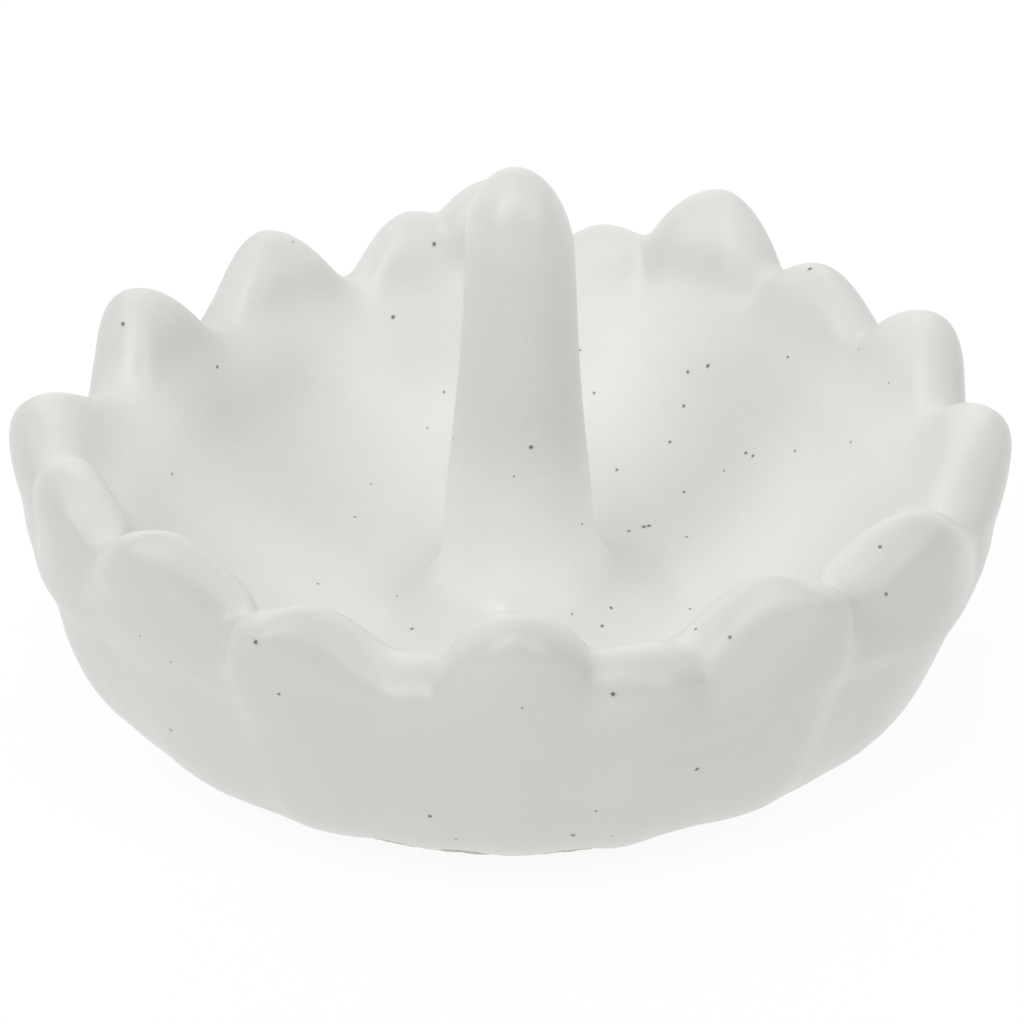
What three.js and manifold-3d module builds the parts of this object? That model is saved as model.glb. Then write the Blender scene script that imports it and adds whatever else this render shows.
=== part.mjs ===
// A hand-built trinket dish in speckled white stoneware: a shallow bowl on a foot ring, a tapered
// cone for rings in its middle, and eighteen thick petals pressed round the outside of the bowl.
// Millimetres, +Z up. The dish stands on z = 0 and its bowl turns about the Z axis.

import * as THREE from "three";
import { mergeVertices } from "three/addons/utils/BufferGeometryUtils.js";
import Module from "manifold-3d";

const wasm = await Module();
wasm.setup();

// Foot ring
const FOOT_OUTER_RADIUS = 35.4;
const FOOT_WALL = 8.4;
const FOOT_INNER_RADIUS = FOOT_OUTER_RADIUS - FOOT_WALL;
const FOOT_HEIGHT = 6;
const FOOT_EDGE_ROUND = 0.6;

// Bowl: its flat floor ends where the wall starts to rise, inside the foot's inner wall
const FLOOR_THICKNESS = 6;
const FLOOR_HEIGHT = FOOT_HEIGHT + FLOOR_THICKNESS;
const FLOOR_MARGIN = 7;
const FLOOR_RADIUS = FOOT_INNER_RADIUS - FLOOR_MARGIN;
const BOWL_DEPTH = 12.5;
const BOWL_RIM_HEIGHT = FLOOR_HEIGHT + BOWL_DEPTH;
const RECESS_DEPTH = 1.5;
const WALL_CURVE_POWER = 5;

// Ring cone, with its heights measured from the bowl's floor
const CONE_RISE = 51.4;
const CONE_OFFSET = 0.9;
const CONE_TIP_RADIUS = 5.5;
const CONE_TIP_LENGTH = 8;
const CONE_STEM_RADIUS = 8;
const CONE_FLARE_HEIGHT = 12;
const CONE_BASE_RADIUS = 14;
const CONE_EDGE = 0.6;
const CONE_SEAT_DEPTH = 1.5;
const CONE_TOP = FLOOR_HEIGHT + CONE_RISE;

// Petals: a round-edged pad that starts under the bowl, bends round its belly and stands up
// past its rim. Radii reach out from the foot, and the common height is that of a middling tip.
const START_TUCK = 3.4;
const START_DROP = 0.5;
const HEEL_REACH = 9.2;
const HEEL_RISE = 1;
const BELLY_REACH = 12.1;
const BELLY_RISE = 10;
const PETAL_START = new THREE.Vector2(FOOT_OUTER_RADIUS - START_TUCK, FOOT_HEIGHT - START_DROP);
const PETAL_HEEL = new THREE.Vector2(FOOT_OUTER_RADIUS + HEEL_REACH, FOOT_HEIGHT + HEEL_RISE);
const PETAL_BELLY = new THREE.Vector2(FOOT_OUTER_RADIUS + BELLY_REACH, FOOT_HEIGHT + BELLY_RISE);
const PETAL_RISE = 11.9;
const PETAL_HEIGHT = BOWL_RIM_HEIGHT + PETAL_RISE;
const RIM_OVERHANG = 15.1;
const RIM_RADIUS = FOOT_OUTER_RADIUS + RIM_OVERHANG;
const PETAL_HALF_THICKNESS = 4.3;
const PETAL_COVER = 3.6;
const PETAL_TIP_ROUND = 7.5;
const PETAL_SWELL = 5;
const PETAL_SWELL_LENGTH = 14;
const PETAL_FLARE_LENGTH = 2.5;
const PETAL_FLARE_SHARE = 0.45;
const SHOULDER_ANGLE = 8;
const SECTION_POWER = 2.6;
const TIP_POWER = 2.3;
const SHOULDER_POWER = 1.7;

// The least drop from a petal's tip to the crease beside it
const LEAST_DROP = 1.2;

// Gap between neighbouring pieces, and how far a cutter runs past what it cuts
const CLEARANCE = 0.3;
const OVERRUN = 5;

// Facets
const TURN_SEGMENTS = 60;
const CONE_SEGMENTS = 36;
const WALL_STEPS = 10;
const BELLY_STEPS = 6;
const TIP_STEPS = 5;
const SECTION_POINTS = 18;
const PETAL_RINGS = 10;
const PETAL_RING_POWER = 1.7;

// The petals, anticlockwise from the front as seen from above. Angles are in degrees from +X.
// radiusShare is a share of RIM_RADIUS, heightShare and creaseShare are shares of PETAL_HEIGHT,
// and the crease is the one on the petal's anticlockwise side.
const PETAL_SHARES = [
  { angle: -89.5, radiusShare: 1.0, heightShare: 1.01, crease: -80.6, creaseShare: 0.84 },
  { angle: -74.5, radiusShare: 0.98, heightShare: 0.865, crease: -67.6, creaseShare: 0.83 },
  { angle: -56, radiusShare: 0.99, heightShare: 0.985, crease: -47.2, creaseShare: 0.9 },
  { angle: -33.5, radiusShare: 1.005, heightShare: 1.02, crease: -16, creaseShare: 0.82 },
  { angle: 0.5, radiusShare: 1.025, heightShare: 0.935, crease: 11.5, creaseShare: 0.805 },
  { angle: 22.4, radiusShare: 1.005, heightShare: 0.995, crease: 33.8, creaseShare: 0.85 },
  { angle: 44.5, radiusShare: 1.0, heightShare: 0.95, crease: 52.1, creaseShare: 0.895 },
  { angle: 61.3, radiusShare: 1.0, heightShare: 1.095, crease: 71.8, creaseShare: 0.9 },
  { angle: 76.8, radiusShare: 0.99, heightShare: 0.94, crease: 84.5, creaseShare: 0.89 },
  { angle: 91.5, radiusShare: 0.995, heightShare: 1.08, crease: 99.5, creaseShare: 0.95 },
  { angle: 104.5, radiusShare: 0.99, heightShare: 0.98, crease: 112.4, creaseShare: 0.79 },
  { angle: 124.1, radiusShare: 1.0, heightShare: 0.995, crease: 136.1, creaseShare: 0.78 },
  { angle: 148.7, radiusShare: 1.005, heightShare: 0.985, crease: 158.5, creaseShare: 0.73 },
  { angle: 178, radiusShare: 1.025, heightShare: 0.965, crease: 190, creaseShare: 0.835 },
  { angle: 200.5, radiusShare: 1.015, heightShare: 1.015, crease: 212.5, creaseShare: 0.89 },
  { angle: 222.6, radiusShare: 1.0, heightShare: 1.035, crease: 235.5, creaseShare: 0.875 },
  { angle: 244.2, radiusShare: 1.0, heightShare: 0.955, crease: 254.9, creaseShare: 0.805 },
  { angle: 258.5, radiusShare: 0.95, heightShare: 0.84, crease: 262.8, creaseShare: 0.81 },
];

// Finishes
const GLAZE = { color: 0xd9dad5, roughness: 0.45, metalness: 0 };
const BARE_CLAY = { color: 0xd3cbbd, roughness: 0.85, metalness: 0 };

function radians(degrees) {
  return THREE.MathUtils.degToRad(degrees);
}

// A closed mesh as a solid, with its shared corners merged and its empty triangles dropped
function solidFrom(geometry) {
  const bare = geometry.clone();
  bare.deleteAttribute("normal");
  bare.deleteAttribute("uv");
  const merged = mergeVertices(bare);
  const index = merged.index.array;
  const kept = [];
  for (let i = 0; i < index.length; i += 3) {
    const [a, b, c] = [index[i], index[i + 1], index[i + 2]];
    if (a !== b && b !== c && c !== a) kept.push(a, b, c);
  }
  const mesh = new wasm.Mesh({
    numProp: 3,
    vertProperties: new Float32Array(merged.attributes.position.array),
    triVerts: new Uint32Array(kept),
  });
  return new wasm.Manifold(mesh);
}

function geometryFrom(solid) {
  const mesh = solid.getMesh();
  const geometry = new THREE.BufferGeometry();
  geometry.setAttribute("position", new THREE.BufferAttribute(mesh.vertProperties, mesh.numProp));
  geometry.setIndex(new THREE.BufferAttribute(mesh.triVerts, 1));
  geometry.computeVertexNormals();
  return geometry;
}

// An outline of [radius, height] points turned about +Z. It runs anticlockwise in that plane.
function turned(outline, segments) {
  const points = outline.map(([radius, height]) => new THREE.Vector2(radius, height));
  const geometry = new THREE.LatheGeometry(points, segments);
  return geometry.rotateX(Math.PI / 2);
}

// The middle line of a petal, in the plane that holds the dish's axis
function petalSpine(tipRadius, tipHeight) {
  const tip = new THREE.Vector2(tipRadius, tipHeight);
  return new THREE.CubicBezierCurve(PETAL_START, PETAL_HEEL, PETAL_BELLY, tip);
}

// The point of a spine at t, moved outwards by a distance square to the spine
function besideSpine(spine, t, outward) {
  const point = spine.getPoint(t);
  const along = spine.getTangent(t);
  return new THREE.Vector2(point.x + along.y * outward, point.y - along.x * outward);
}

const BELLY_LINE = petalSpine(RIM_RADIUS, PETAL_HEIGHT);

// The radius of the belly line, moved outwards by a distance, at a height
function bellyRadius(height, outward) {
  let low = 0;
  let high = 1;
  while (high - low > Number.EPSILON * 8) {
    const middle = (low + high) / 2;
    if (besideSpine(BELLY_LINE, middle, outward).y < height) low = middle;
    else high = middle;
  }
  return besideSpine(BELLY_LINE, low, outward).x;
}

// The outside of the bowl from a height up to its rim, grown by a gap
function bellyOutline(bottom, gap) {
  const outward = PETAL_HALF_THICKNESS - PETAL_COVER + gap;
  const top = BOWL_RIM_HEIGHT + gap;
  const points = [];
  for (let i = 0; i <= BELLY_STEPS; i += 1) {
    const height = THREE.MathUtils.lerp(bottom, top, i / BELLY_STEPS);
    points.push([bellyRadius(height, outward), height]);
  }
  return points;
}

function makeFootRing() {
  const outline = [
    [FOOT_INNER_RADIUS, FOOT_EDGE_ROUND],
    [FOOT_INNER_RADIUS + FOOT_EDGE_ROUND, 0],
    [FOOT_OUTER_RADIUS - FOOT_EDGE_ROUND, 0],
    [FOOT_OUTER_RADIUS, FOOT_EDGE_ROUND],
    [FOOT_OUTER_RADIUS, FOOT_HEIGHT],
    [FOOT_INNER_RADIUS, FOOT_HEIGHT],
    [FOOT_INNER_RADIUS, FOOT_EDGE_ROUND],
  ];
  return geometryFrom(solidFrom(turned(outline, TURN_SEGMENTS)));
}

// The shallow round seat that the cone stands in, as a cutter
function coneSeat() {
  const radius = CONE_BASE_RADIUS + CLEARANCE;
  const seatFloor = FLOOR_HEIGHT - CONE_SEAT_DEPTH;
  const outline = [
    [0, seatFloor],
    [radius, seatFloor],
    [radius, FLOOR_HEIGHT + OVERRUN],
    [0, FLOOR_HEIGHT + OVERRUN],
  ];
  return turned(outline, CONE_SEGMENTS).translate(CONE_OFFSET, 0, 0);
}

// How much thicker a petal is on its inner side at a distance below its tip: it swells down to
// the bowl's rim, where it flows into the inner wall, and ends again inside the bowl
function innerSwell(below) {
  const share = Math.min(below / PETAL_SWELL_LENGTH, 2);
  return PETAL_SWELL * Math.sin((share * Math.PI) / 2);
}

function makeBowl() {
  const inward = PETAL_HALF_THICKNESS + innerSwell(PETAL_RISE);
  const rimInside = bellyRadius(BOWL_RIM_HEIGHT, -inward);
  const recess = FOOT_HEIGHT + RECESS_DEPTH;
  const outline = [
    [0, recess],
    [FOOT_INNER_RADIUS - RECESS_DEPTH, recess],
    [FOOT_INNER_RADIUS, FOOT_HEIGHT],
    ...bellyOutline(FOOT_HEIGHT, 0),
  ];
  for (let i = WALL_STEPS; i >= 0; i -= 1) {
    const share = i / WALL_STEPS;
    const radius = THREE.MathUtils.lerp(FLOOR_RADIUS, rimInside, share);
    const rise = (BOWL_RIM_HEIGHT - FLOOR_HEIGHT) * share ** WALL_CURVE_POWER;
    outline.push([radius, FLOOR_HEIGHT + rise]);
  }
  outline.push([0, FLOOR_HEIGHT]);
  const body = solidFrom(turned(outline, TURN_SEGMENTS));
  return geometryFrom(body.subtract(solidFrom(coneSeat())));
}

// The cone: a base disc, a hollow curve up to the stem, a slow taper and a round tip
function makeRingCone() {
  const outline = [
    [0, FLOOR_HEIGHT - CONE_SEAT_DEPTH],
    [CONE_BASE_RADIUS, FLOOR_HEIGHT - CONE_SEAT_DEPTH],
  ];
  const curveFoot = FLOOR_HEIGHT + CONE_EDGE;
  const flare = CONE_BASE_RADIUS - CONE_STEM_RADIUS;
  for (let i = 0; i <= TIP_STEPS; i += 1) {
    const turn = (i / TIP_STEPS) * (Math.PI / 2);
    const radius = CONE_BASE_RADIUS - flare * Math.sin(turn);
    const height = curveFoot + (CONE_FLARE_HEIGHT - CONE_EDGE) * (1 - Math.cos(turn));
    outline.push([radius, height]);
  }
  for (let i = 0; i < TIP_STEPS; i += 1) {
    const turn = (i / TIP_STEPS) * (Math.PI / 2);
    const height = CONE_TOP - CONE_TIP_LENGTH * (1 - Math.sin(turn));
    outline.push([CONE_TIP_RADIUS * Math.cos(turn), height]);
  }
  outline.push([0, CONE_TOP]);
  return geometryFrom(solidFrom(turned(outline, CONE_SEGMENTS)));
}

// All that the petals are pressed against, grown by the clearance, as a cutter
function coreCutter() {
  const outline = [
    [0, -OVERRUN],
    [FOOT_OUTER_RADIUS + CLEARANCE, -OVERRUN],
    [FOOT_OUTER_RADIUS + CLEARANCE, FOOT_HEIGHT - CLEARANCE],
    ...bellyOutline(FOOT_HEIGHT - CLEARANCE, CLEARANCE),
    [0, BOWL_RIM_HEIGHT + CLEARANCE],
  ];
  return solidFrom(turned(outline, TURN_SEGMENTS));
}

// A petal's half width, in degrees, at a distance below its tip. It is round at the shoulder,
// reaches the crease at the crease's own depth, and flares under its neighbour below that.
function halfWidth(below, creaseAngle, drop) {
  const depth = Math.min(below / drop, 1);
  const roundShare = Math.min(1, SHOULDER_ANGLE / creaseAngle);
  const round = (1 - (1 - depth) ** SHOULDER_POWER) ** (1 / SHOULDER_POWER);
  const shoulder = roundShare * round + (1 - roundShare) * depth ** SHOULDER_POWER;
  const past = Math.max(below - drop, 0) / PETAL_FLARE_LENGTH;
  const flare = PETAL_FLARE_SHARE * (1 - Math.exp(-past * past));
  return creaseAngle * (shoulder + flare);
}

function signedPower(value, power) {
  return Math.sign(value) * Math.abs(value) ** power;
}

// A whole petal before it is trimmed: rings of section points along its spine, closed by a
// flat end under the bowl and a point at the tip
function petalPad(petal, left, right) {
  const spine = petalSpine(RIM_RADIUS * petal.radiusShare, PETAL_HEIGHT * petal.heightShare);
  const length = spine.getLength();
  const positions = [];
  const addPoint = (radius, angle, height) => {
    const turn = radians(angle);
    positions.push(radius * Math.cos(turn), radius * Math.sin(turn), height);
  };
  const start = spine.getPoint(0);
  addPoint(start.x, petal.angle, start.y);
  for (let ring = 0; ring < PETAL_RINGS; ring += 1) {
    const t = 1 - (1 - ring / PETAL_RINGS) ** PETAL_RING_POWER;
    const below = length * (1 - t);
    const inCap = Math.max(1 - below / PETAL_TIP_ROUND, 0);
    const thickness = PETAL_HALF_THICKNESS * (1 - inCap ** TIP_POWER) ** (1 / TIP_POWER);
    const swell = innerSwell(below);
    const widths = [right, left].map((side) => halfWidth(below, side.angle, side.drop));
    const spineShare = spine.getUtoTmapping(t);
    for (let k = 0; k < SECTION_POINTS; k += 1) {
      const turn = (k / SECTION_POINTS) * 2 * Math.PI;
      const side = signedPower(Math.cos(turn), 2 / SECTION_POWER);
      const outward = side * thickness + Math.min(side, 0) * swell;
      const across = signedPower(Math.sin(turn), 2 / SECTION_POWER);
      const point = besideSpine(spine, spineShare, outward);
      addPoint(point.x, petal.angle + across * widths[across > 0 ? 1 : 0], point.y);
    }
  }
  const tip = spine.getPoint(1);
  addPoint(tip.x, petal.angle, tip.y);

  const faces = [];
  const last = positions.length / 3 - 1;
  const at = (ring, k) => 1 + ring * SECTION_POINTS + (k % SECTION_POINTS);
  for (let k = 0; k < SECTION_POINTS; k += 1) {
    faces.push(0, at(0, k + 1), at(0, k));
    for (let ring = 0; ring + 1 < PETAL_RINGS; ring += 1) {
      faces.push(at(ring, k), at(ring, k + 1), at(ring + 1, k + 1));
      faces.push(at(ring, k), at(ring + 1, k + 1), at(ring + 1, k));
    }
    faces.push(at(PETAL_RINGS - 1, k), at(PETAL_RINGS - 1, k + 1), last);
  }
  const geometry = new THREE.BufferGeometry();
  geometry.setAttribute("position", new THREE.Float32BufferAttribute(positions, 3));
  geometry.setIndex(faces);
  return solidFrom(geometry);
}

// The slice of the round between two creases, kept half a clearance inside each
function slice(rightCrease, leftCrease) {
  const half = radians((leftCrease - rightCrease) / 2);
  const reach = RIM_RADIUS + OVERRUN * 2;
  const apex = CLEARANCE / 2 / Math.sin(half);
  const shape = new THREE.Shape();
  shape.moveTo(apex, 0);
  shape.lineTo(apex + reach * Math.cos(half), -reach * Math.sin(half));
  shape.lineTo(apex + reach, 0);
  shape.lineTo(apex + reach * Math.cos(half), reach * Math.sin(half));
  const depth = CONE_TOP + OVERRUN;
  const geometry = new THREE.ExtrudeGeometry(shape, { depth, bevelEnabled: false });
  geometry.translate(0, 0, -OVERRUN);
  geometry.rotateZ(radians(rightCrease) + half);
  return solidFrom(geometry);
}

function makePetal(index, core) {
  const petal = PETAL_SHARES[index];
  const before = PETAL_SHARES.at(index - 1);
  const rightCrease = index === 0 ? before.crease - 360 : before.crease;
  const drop = (creaseShare) => {
    return Math.max(PETAL_HEIGHT * (petal.heightShare - creaseShare), LEAST_DROP);
  };
  const left = { angle: petal.crease - petal.angle, drop: drop(petal.creaseShare) };
  const right = { angle: petal.angle - rightCrease, drop: drop(before.creaseShare) };
  const pad = petalPad(petal, left, right);
  const trimmed = pad.intersect(slice(rightCrease, petal.crease)).subtract(core);
  return geometryFrom(trimmed);
}

function addPiece(parent, name, geometry, finish) {
  const mesh = new THREE.Mesh(geometry, new THREE.MeshStandardMaterial(finish));
  mesh.name = name;
  parent.add(mesh);
  return mesh;
}

const dish = new THREE.Group();
addPiece(dish, "foot_ring", makeFootRing(), BARE_CLAY);
addPiece(dish, "bowl", makeBowl(), GLAZE);
addPiece(dish, "ring_cone", makeRingCone(), GLAZE).position.x = CONE_OFFSET;

const petals = new THREE.Group();
const core = coreCutter();
PETAL_SHARES.forEach((petal, index) => {
  const name = `petal_${String(index + 1).padStart(2, "0")}`;
  addPiece(petals, name, makePetal(index, core), GLAZE);
});
dish.add(petals);

export default dish;
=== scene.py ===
"""Dresses a hand-built ring dish in speckled white stoneware for its photograph.

The dish is a shallow bowl on a foot ring, with a tapered cone in its middle and eighteen thick
petals pressed round it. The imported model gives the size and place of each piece. Here the same
pieces are made fine, their joins are softened as clay and glaze soften them, and they are cut
apart again along those joins, so that each piece keeps its own closed mesh and its name.

Lengths are in millimetres until a mesh is made. +Z is up, and the photograph looks along +Y.
"""

from __future__ import annotations

import sys
import logging
import math
from dataclasses import dataclass, field, replace
from enum import Enum

import bpy
import numpy as np
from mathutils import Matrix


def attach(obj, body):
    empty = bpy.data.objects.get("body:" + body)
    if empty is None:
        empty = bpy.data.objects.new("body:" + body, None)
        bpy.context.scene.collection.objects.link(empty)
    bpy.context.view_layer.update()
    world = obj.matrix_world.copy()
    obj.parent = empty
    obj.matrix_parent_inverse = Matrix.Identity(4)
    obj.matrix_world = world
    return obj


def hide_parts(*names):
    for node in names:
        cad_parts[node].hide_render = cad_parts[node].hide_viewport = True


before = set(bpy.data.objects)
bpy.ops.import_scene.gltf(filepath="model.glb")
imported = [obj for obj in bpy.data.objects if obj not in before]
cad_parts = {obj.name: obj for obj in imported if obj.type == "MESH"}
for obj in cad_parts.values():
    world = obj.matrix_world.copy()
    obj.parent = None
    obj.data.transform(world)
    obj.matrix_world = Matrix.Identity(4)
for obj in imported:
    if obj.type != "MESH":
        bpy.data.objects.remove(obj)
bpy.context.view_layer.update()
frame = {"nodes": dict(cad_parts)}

import openvdb
from mathutils import Vector

BODY = "root"
MM = 0.001
PHOTO_PIXELS = 1024
# Names the attribute that holds the light and shade painted into the glaze's colour.
PAINTED_LIGHT_ATTRIBUTE = "painted light and shade"
FINE_SPACING = 0.5
LATTICE_BAND = 7.0
CIRCLE_POWER = 2.0
LEAST_LENGTH = 1e-9

Array = np.ndarray
Node = bpy.types.Node
MATH = "ShaderNodeMath"
log = logging.getLogger("dish")


def linear(colour: str) -> tuple[float, float, float, float]:
    """Turns an sRGB hex colour into linear light.

    Args:
        colour: six hex digits after a hash sign.

    Returns:
        Red, green, blue and an alpha of one.
    """
    digits = colour.lstrip("#")
    shares = [int(digits[i:i + 2], 16) / 255 for i in (0, 2, 4)]
    light = [s / 12.92 if s <= 0.04045 else ((s + 0.055) / 1.055) ** 2.4 for s in shares]
    return (light[0], light[1], light[2], 1.0)


def add_node(tree: bpy.types.NodeTree, kind: str, inputs: dict | tuple | None = None,
             **settings: object) -> bpy.types.Node:
    """Adds a node to a tree, with its settings, values and links.

    Args:
        tree: the shader or geometry tree.
        kind: the node's type.
        inputs: a value, a node or an output socket for each input: a tuple, or a dict by name.
        settings: properties of the node.

    Returns:
        The new node.
    """
    node = tree.nodes.new(kind)
    for name, value in settings.items():
        setattr(node, name, value)
    named = dict(enumerate(inputs)) if isinstance(inputs, tuple) else inputs or {}
    for key, value in named.items():
        if isinstance(value, bpy.types.Node):
            tree.links.new(value.outputs[0], node.inputs[key])
        elif isinstance(value, bpy.types.NodeSocket):
            tree.links.new(value, node.inputs[key])
        else:
            node.inputs[key].default_value = value
    return node


def add_sockets(tree: bpy.types.NodeTree, inputs: list[tuple[str, str, object]],
                output: str) -> bpy.types.NodeOutputs:
    """Gives a geometry rule its inputs and its one output.

    Args:
        tree: the rule's tree.
        inputs: the name, kind and usual value of each input, with None where it has no value.
        output: the output's name.

    Returns:
        The inputs' sockets, to link from.
    """
    for name, kind, value in inputs:
        item = tree.interface.new_socket(name=name, in_out="INPUT", socket_type=kind)
        if value is not None:
            item.default_value = value
    tree.interface.new_socket(name=output, in_out="OUTPUT", socket_type="NodeSocketGeometry")
    return add_node(tree, "NodeGroupInput").outputs


def new_material(name: str, inputs: dict[str, object]) -> tuple[bpy.types.Material, Node]:
    """Makes a material.

    Args:
        name: the material's name.
        inputs: values for its shader's inputs by name.

    Returns:
        The material and its shader's node.
    """
    material = bpy.data.materials.new(name)
    material.use_nodes = True
    shader = material.node_tree.nodes["Principled BSDF"]
    for key, value in inputs.items():
        shader.inputs[key].default_value = value
    return material, shader


def link_mesh(name: str, mesh: bpy.types.Mesh) -> bpy.types.Object:
    """Puts a mesh into the scene as an object, and names both."""
    mesh.name = name
    piece = bpy.data.objects.new(name, mesh)
    bpy.context.scene.collection.objects.link(piece)
    return piece


def shaped_mesh(piece: bpy.types.Object) -> bpy.types.Mesh:
    """Gives a new mesh of an object as its modifiers shape it."""
    graph = bpy.context.evaluated_depsgraph_get()
    return bpy.data.meshes.new_from_object(piece.evaluated_get(graph))


def run_rule(piece: bpy.types.Object, tree: bpy.types.NodeTree,
             values: dict[str, object]) -> bpy.types.Mesh:
    """Runs a geometry rule on an object.

    Args:
        piece: the object.
        tree: the rule's tree.
        values: values for its inputs by name. The others keep their usual ones.

    Returns:
        The mesh that the rule makes.
    """
    modifier = piece.modifiers.new(tree.name, "NODES")
    modifier.node_group = tree
    for item in tree.interface.items_tree:
        if item.in_out == "INPUT" and item.name in values:
            modifier[item.identifier] = values[item.name]
    return shaped_mesh(piece)


def discard(*pieces: bpy.types.Object) -> None:
    """Removes objects and their meshes."""
    for piece in pieces:
        mesh = piece.data
        bpy.data.objects.remove(piece)
        bpy.data.meshes.remove(mesh)


def mesh_object(name: str, points: Array, faces: Array) -> bpy.types.Object:
    """Makes an object in the scene from points in millimetres.

    Args:
        name: the object's name.
        points: one row of three coordinates for each point.
        faces: one row of point numbers for each face.

    Returns:
        The object, at the origin, with its place in its mesh.
    """
    mesh = bpy.data.meshes.new(name)
    mesh.vertices.add(len(points))
    mesh.vertices.foreach_set("co", (points * MM).astype(np.float32).ravel())
    corners = faces.shape[1]
    mesh.loops.add(faces.size)
    mesh.loops.foreach_set("vertex_index", faces.astype(np.int32).ravel())
    mesh.polygons.add(len(faces))
    mesh.polygons.foreach_set("loop_start", np.arange(0, faces.size, corners, dtype=np.int32))
    mesh.update(calc_edges=True)
    mesh.validate()
    return link_mesh(name, mesh)


def read_all(items: bpy.types.bpy_prop_collection, name: str, kind: type, width: int) -> Array:
    """Reads one property of all of a mesh's points, corners or faces.

    Args:
        items: the points, corners or faces.
        name: the property.
        kind: the type of its numbers.
        width: how many numbers it has.

    Returns:
        One row for each item.
    """
    flat = np.empty(len(items) * width, kind)
    items.foreach_get(name, flat)
    return flat.reshape(-1, width)


def write_all(mesh: bpy.types.Mesh, name: str, kind: str, numbers: Array) -> None:
    """Gives a mesh's points an attribute.

    Args:
        mesh: the mesh.
        name: the attribute's name.
        kind: FLOAT or FLOAT_VECTOR.
        numbers: one number or one row for each point.
    """
    entry = {"FLOAT": "value", "FLOAT_VECTOR": "vector"}[kind]
    attribute = mesh.attributes.new(name, kind, "POINT")
    attribute.data.foreach_set(entry, numbers.astype(np.float32).ravel())


def mesh_points(mesh: bpy.types.Mesh) -> Array:
    """Gives a mesh's points in millimetres, one row each."""
    return read_all(mesh.vertices, "co", np.float32, 3).astype(float) / MM


def mesh_triangles(mesh: bpy.types.Mesh) -> Array:
    """Gives the point numbers of a mesh's triangles, one row each."""
    mesh.calc_loop_triangles()
    return read_all(mesh.loop_triangles, "vertices", np.int32, 3)


def smooth_step(low: float, high: float, value: Array) -> Array:
    """Rises smoothly from 0 at low to 1 at high."""
    share = np.clip((value - low) / (high - low), 0, 1)
    return share * share * (3 - 2 * share)


def wrapped(angle: float | Array) -> float | Array:
    """Brings angles to between minus half a turn and half a turn."""
    return (angle + math.pi) % (2 * math.pi) - math.pi


def lathe(outline: Array, segments: int, centre: float = 0.0) -> tuple[Array, Array]:
    """Turns an outline that starts and ends on the axis about +Z.

    Args:
        outline: rows of radius and height, anticlockwise with the radius to the right.
        segments: how many steps go round.
        centre: how far the axis stands towards +X.

    Returns:
        The points and the triangles of a closed solid.
    """
    turn = np.arange(segments) * (2 * math.pi / segments)
    radius = outline[1:-1, 0][:, None]
    height = np.repeat(outline[1:-1, 1][:, None], segments, axis=1)
    rings = np.stack([radius * np.cos(turn) + centre, radius * np.sin(turn), height], axis=2)
    poles = np.array([[centre, 0, outline[0, 1]], [centre, 0, outline[-1, 1]]])
    points = np.concatenate([rings.reshape(-1, 3), poles])
    here = np.arange(segments)
    after = (here + 1) % segments
    rows = np.arange(len(outline) - 3)[:, None] * segments
    higher = rows + segments
    lower = np.stack([rows + here, rows + after, higher + after], axis=2).reshape(-1, 3)
    upper = np.stack([rows + here, higher + after, higher + here], axis=2).reshape(-1, 3)
    last = (len(outline) - 3) * segments
    bottom = np.stack([np.full(segments, len(points) - 2), after, here], axis=1)
    top = np.stack([last + here, last + after, np.full(segments, len(points) - 1)], axis=1)
    return points, np.concatenate([lower, upper, bottom, top])


@dataclass(frozen=True)
class Crease:
    """The line where two petals meet: its bearing round the dish, and the height of its top."""

    bearing: float
    height: float


@dataclass(frozen=True)
class Petal:
    """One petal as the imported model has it: its tip, and the crease on each side of it."""

    name: str
    bearing: float
    reach: float
    height: float
    right: Crease
    left: Crease


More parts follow.
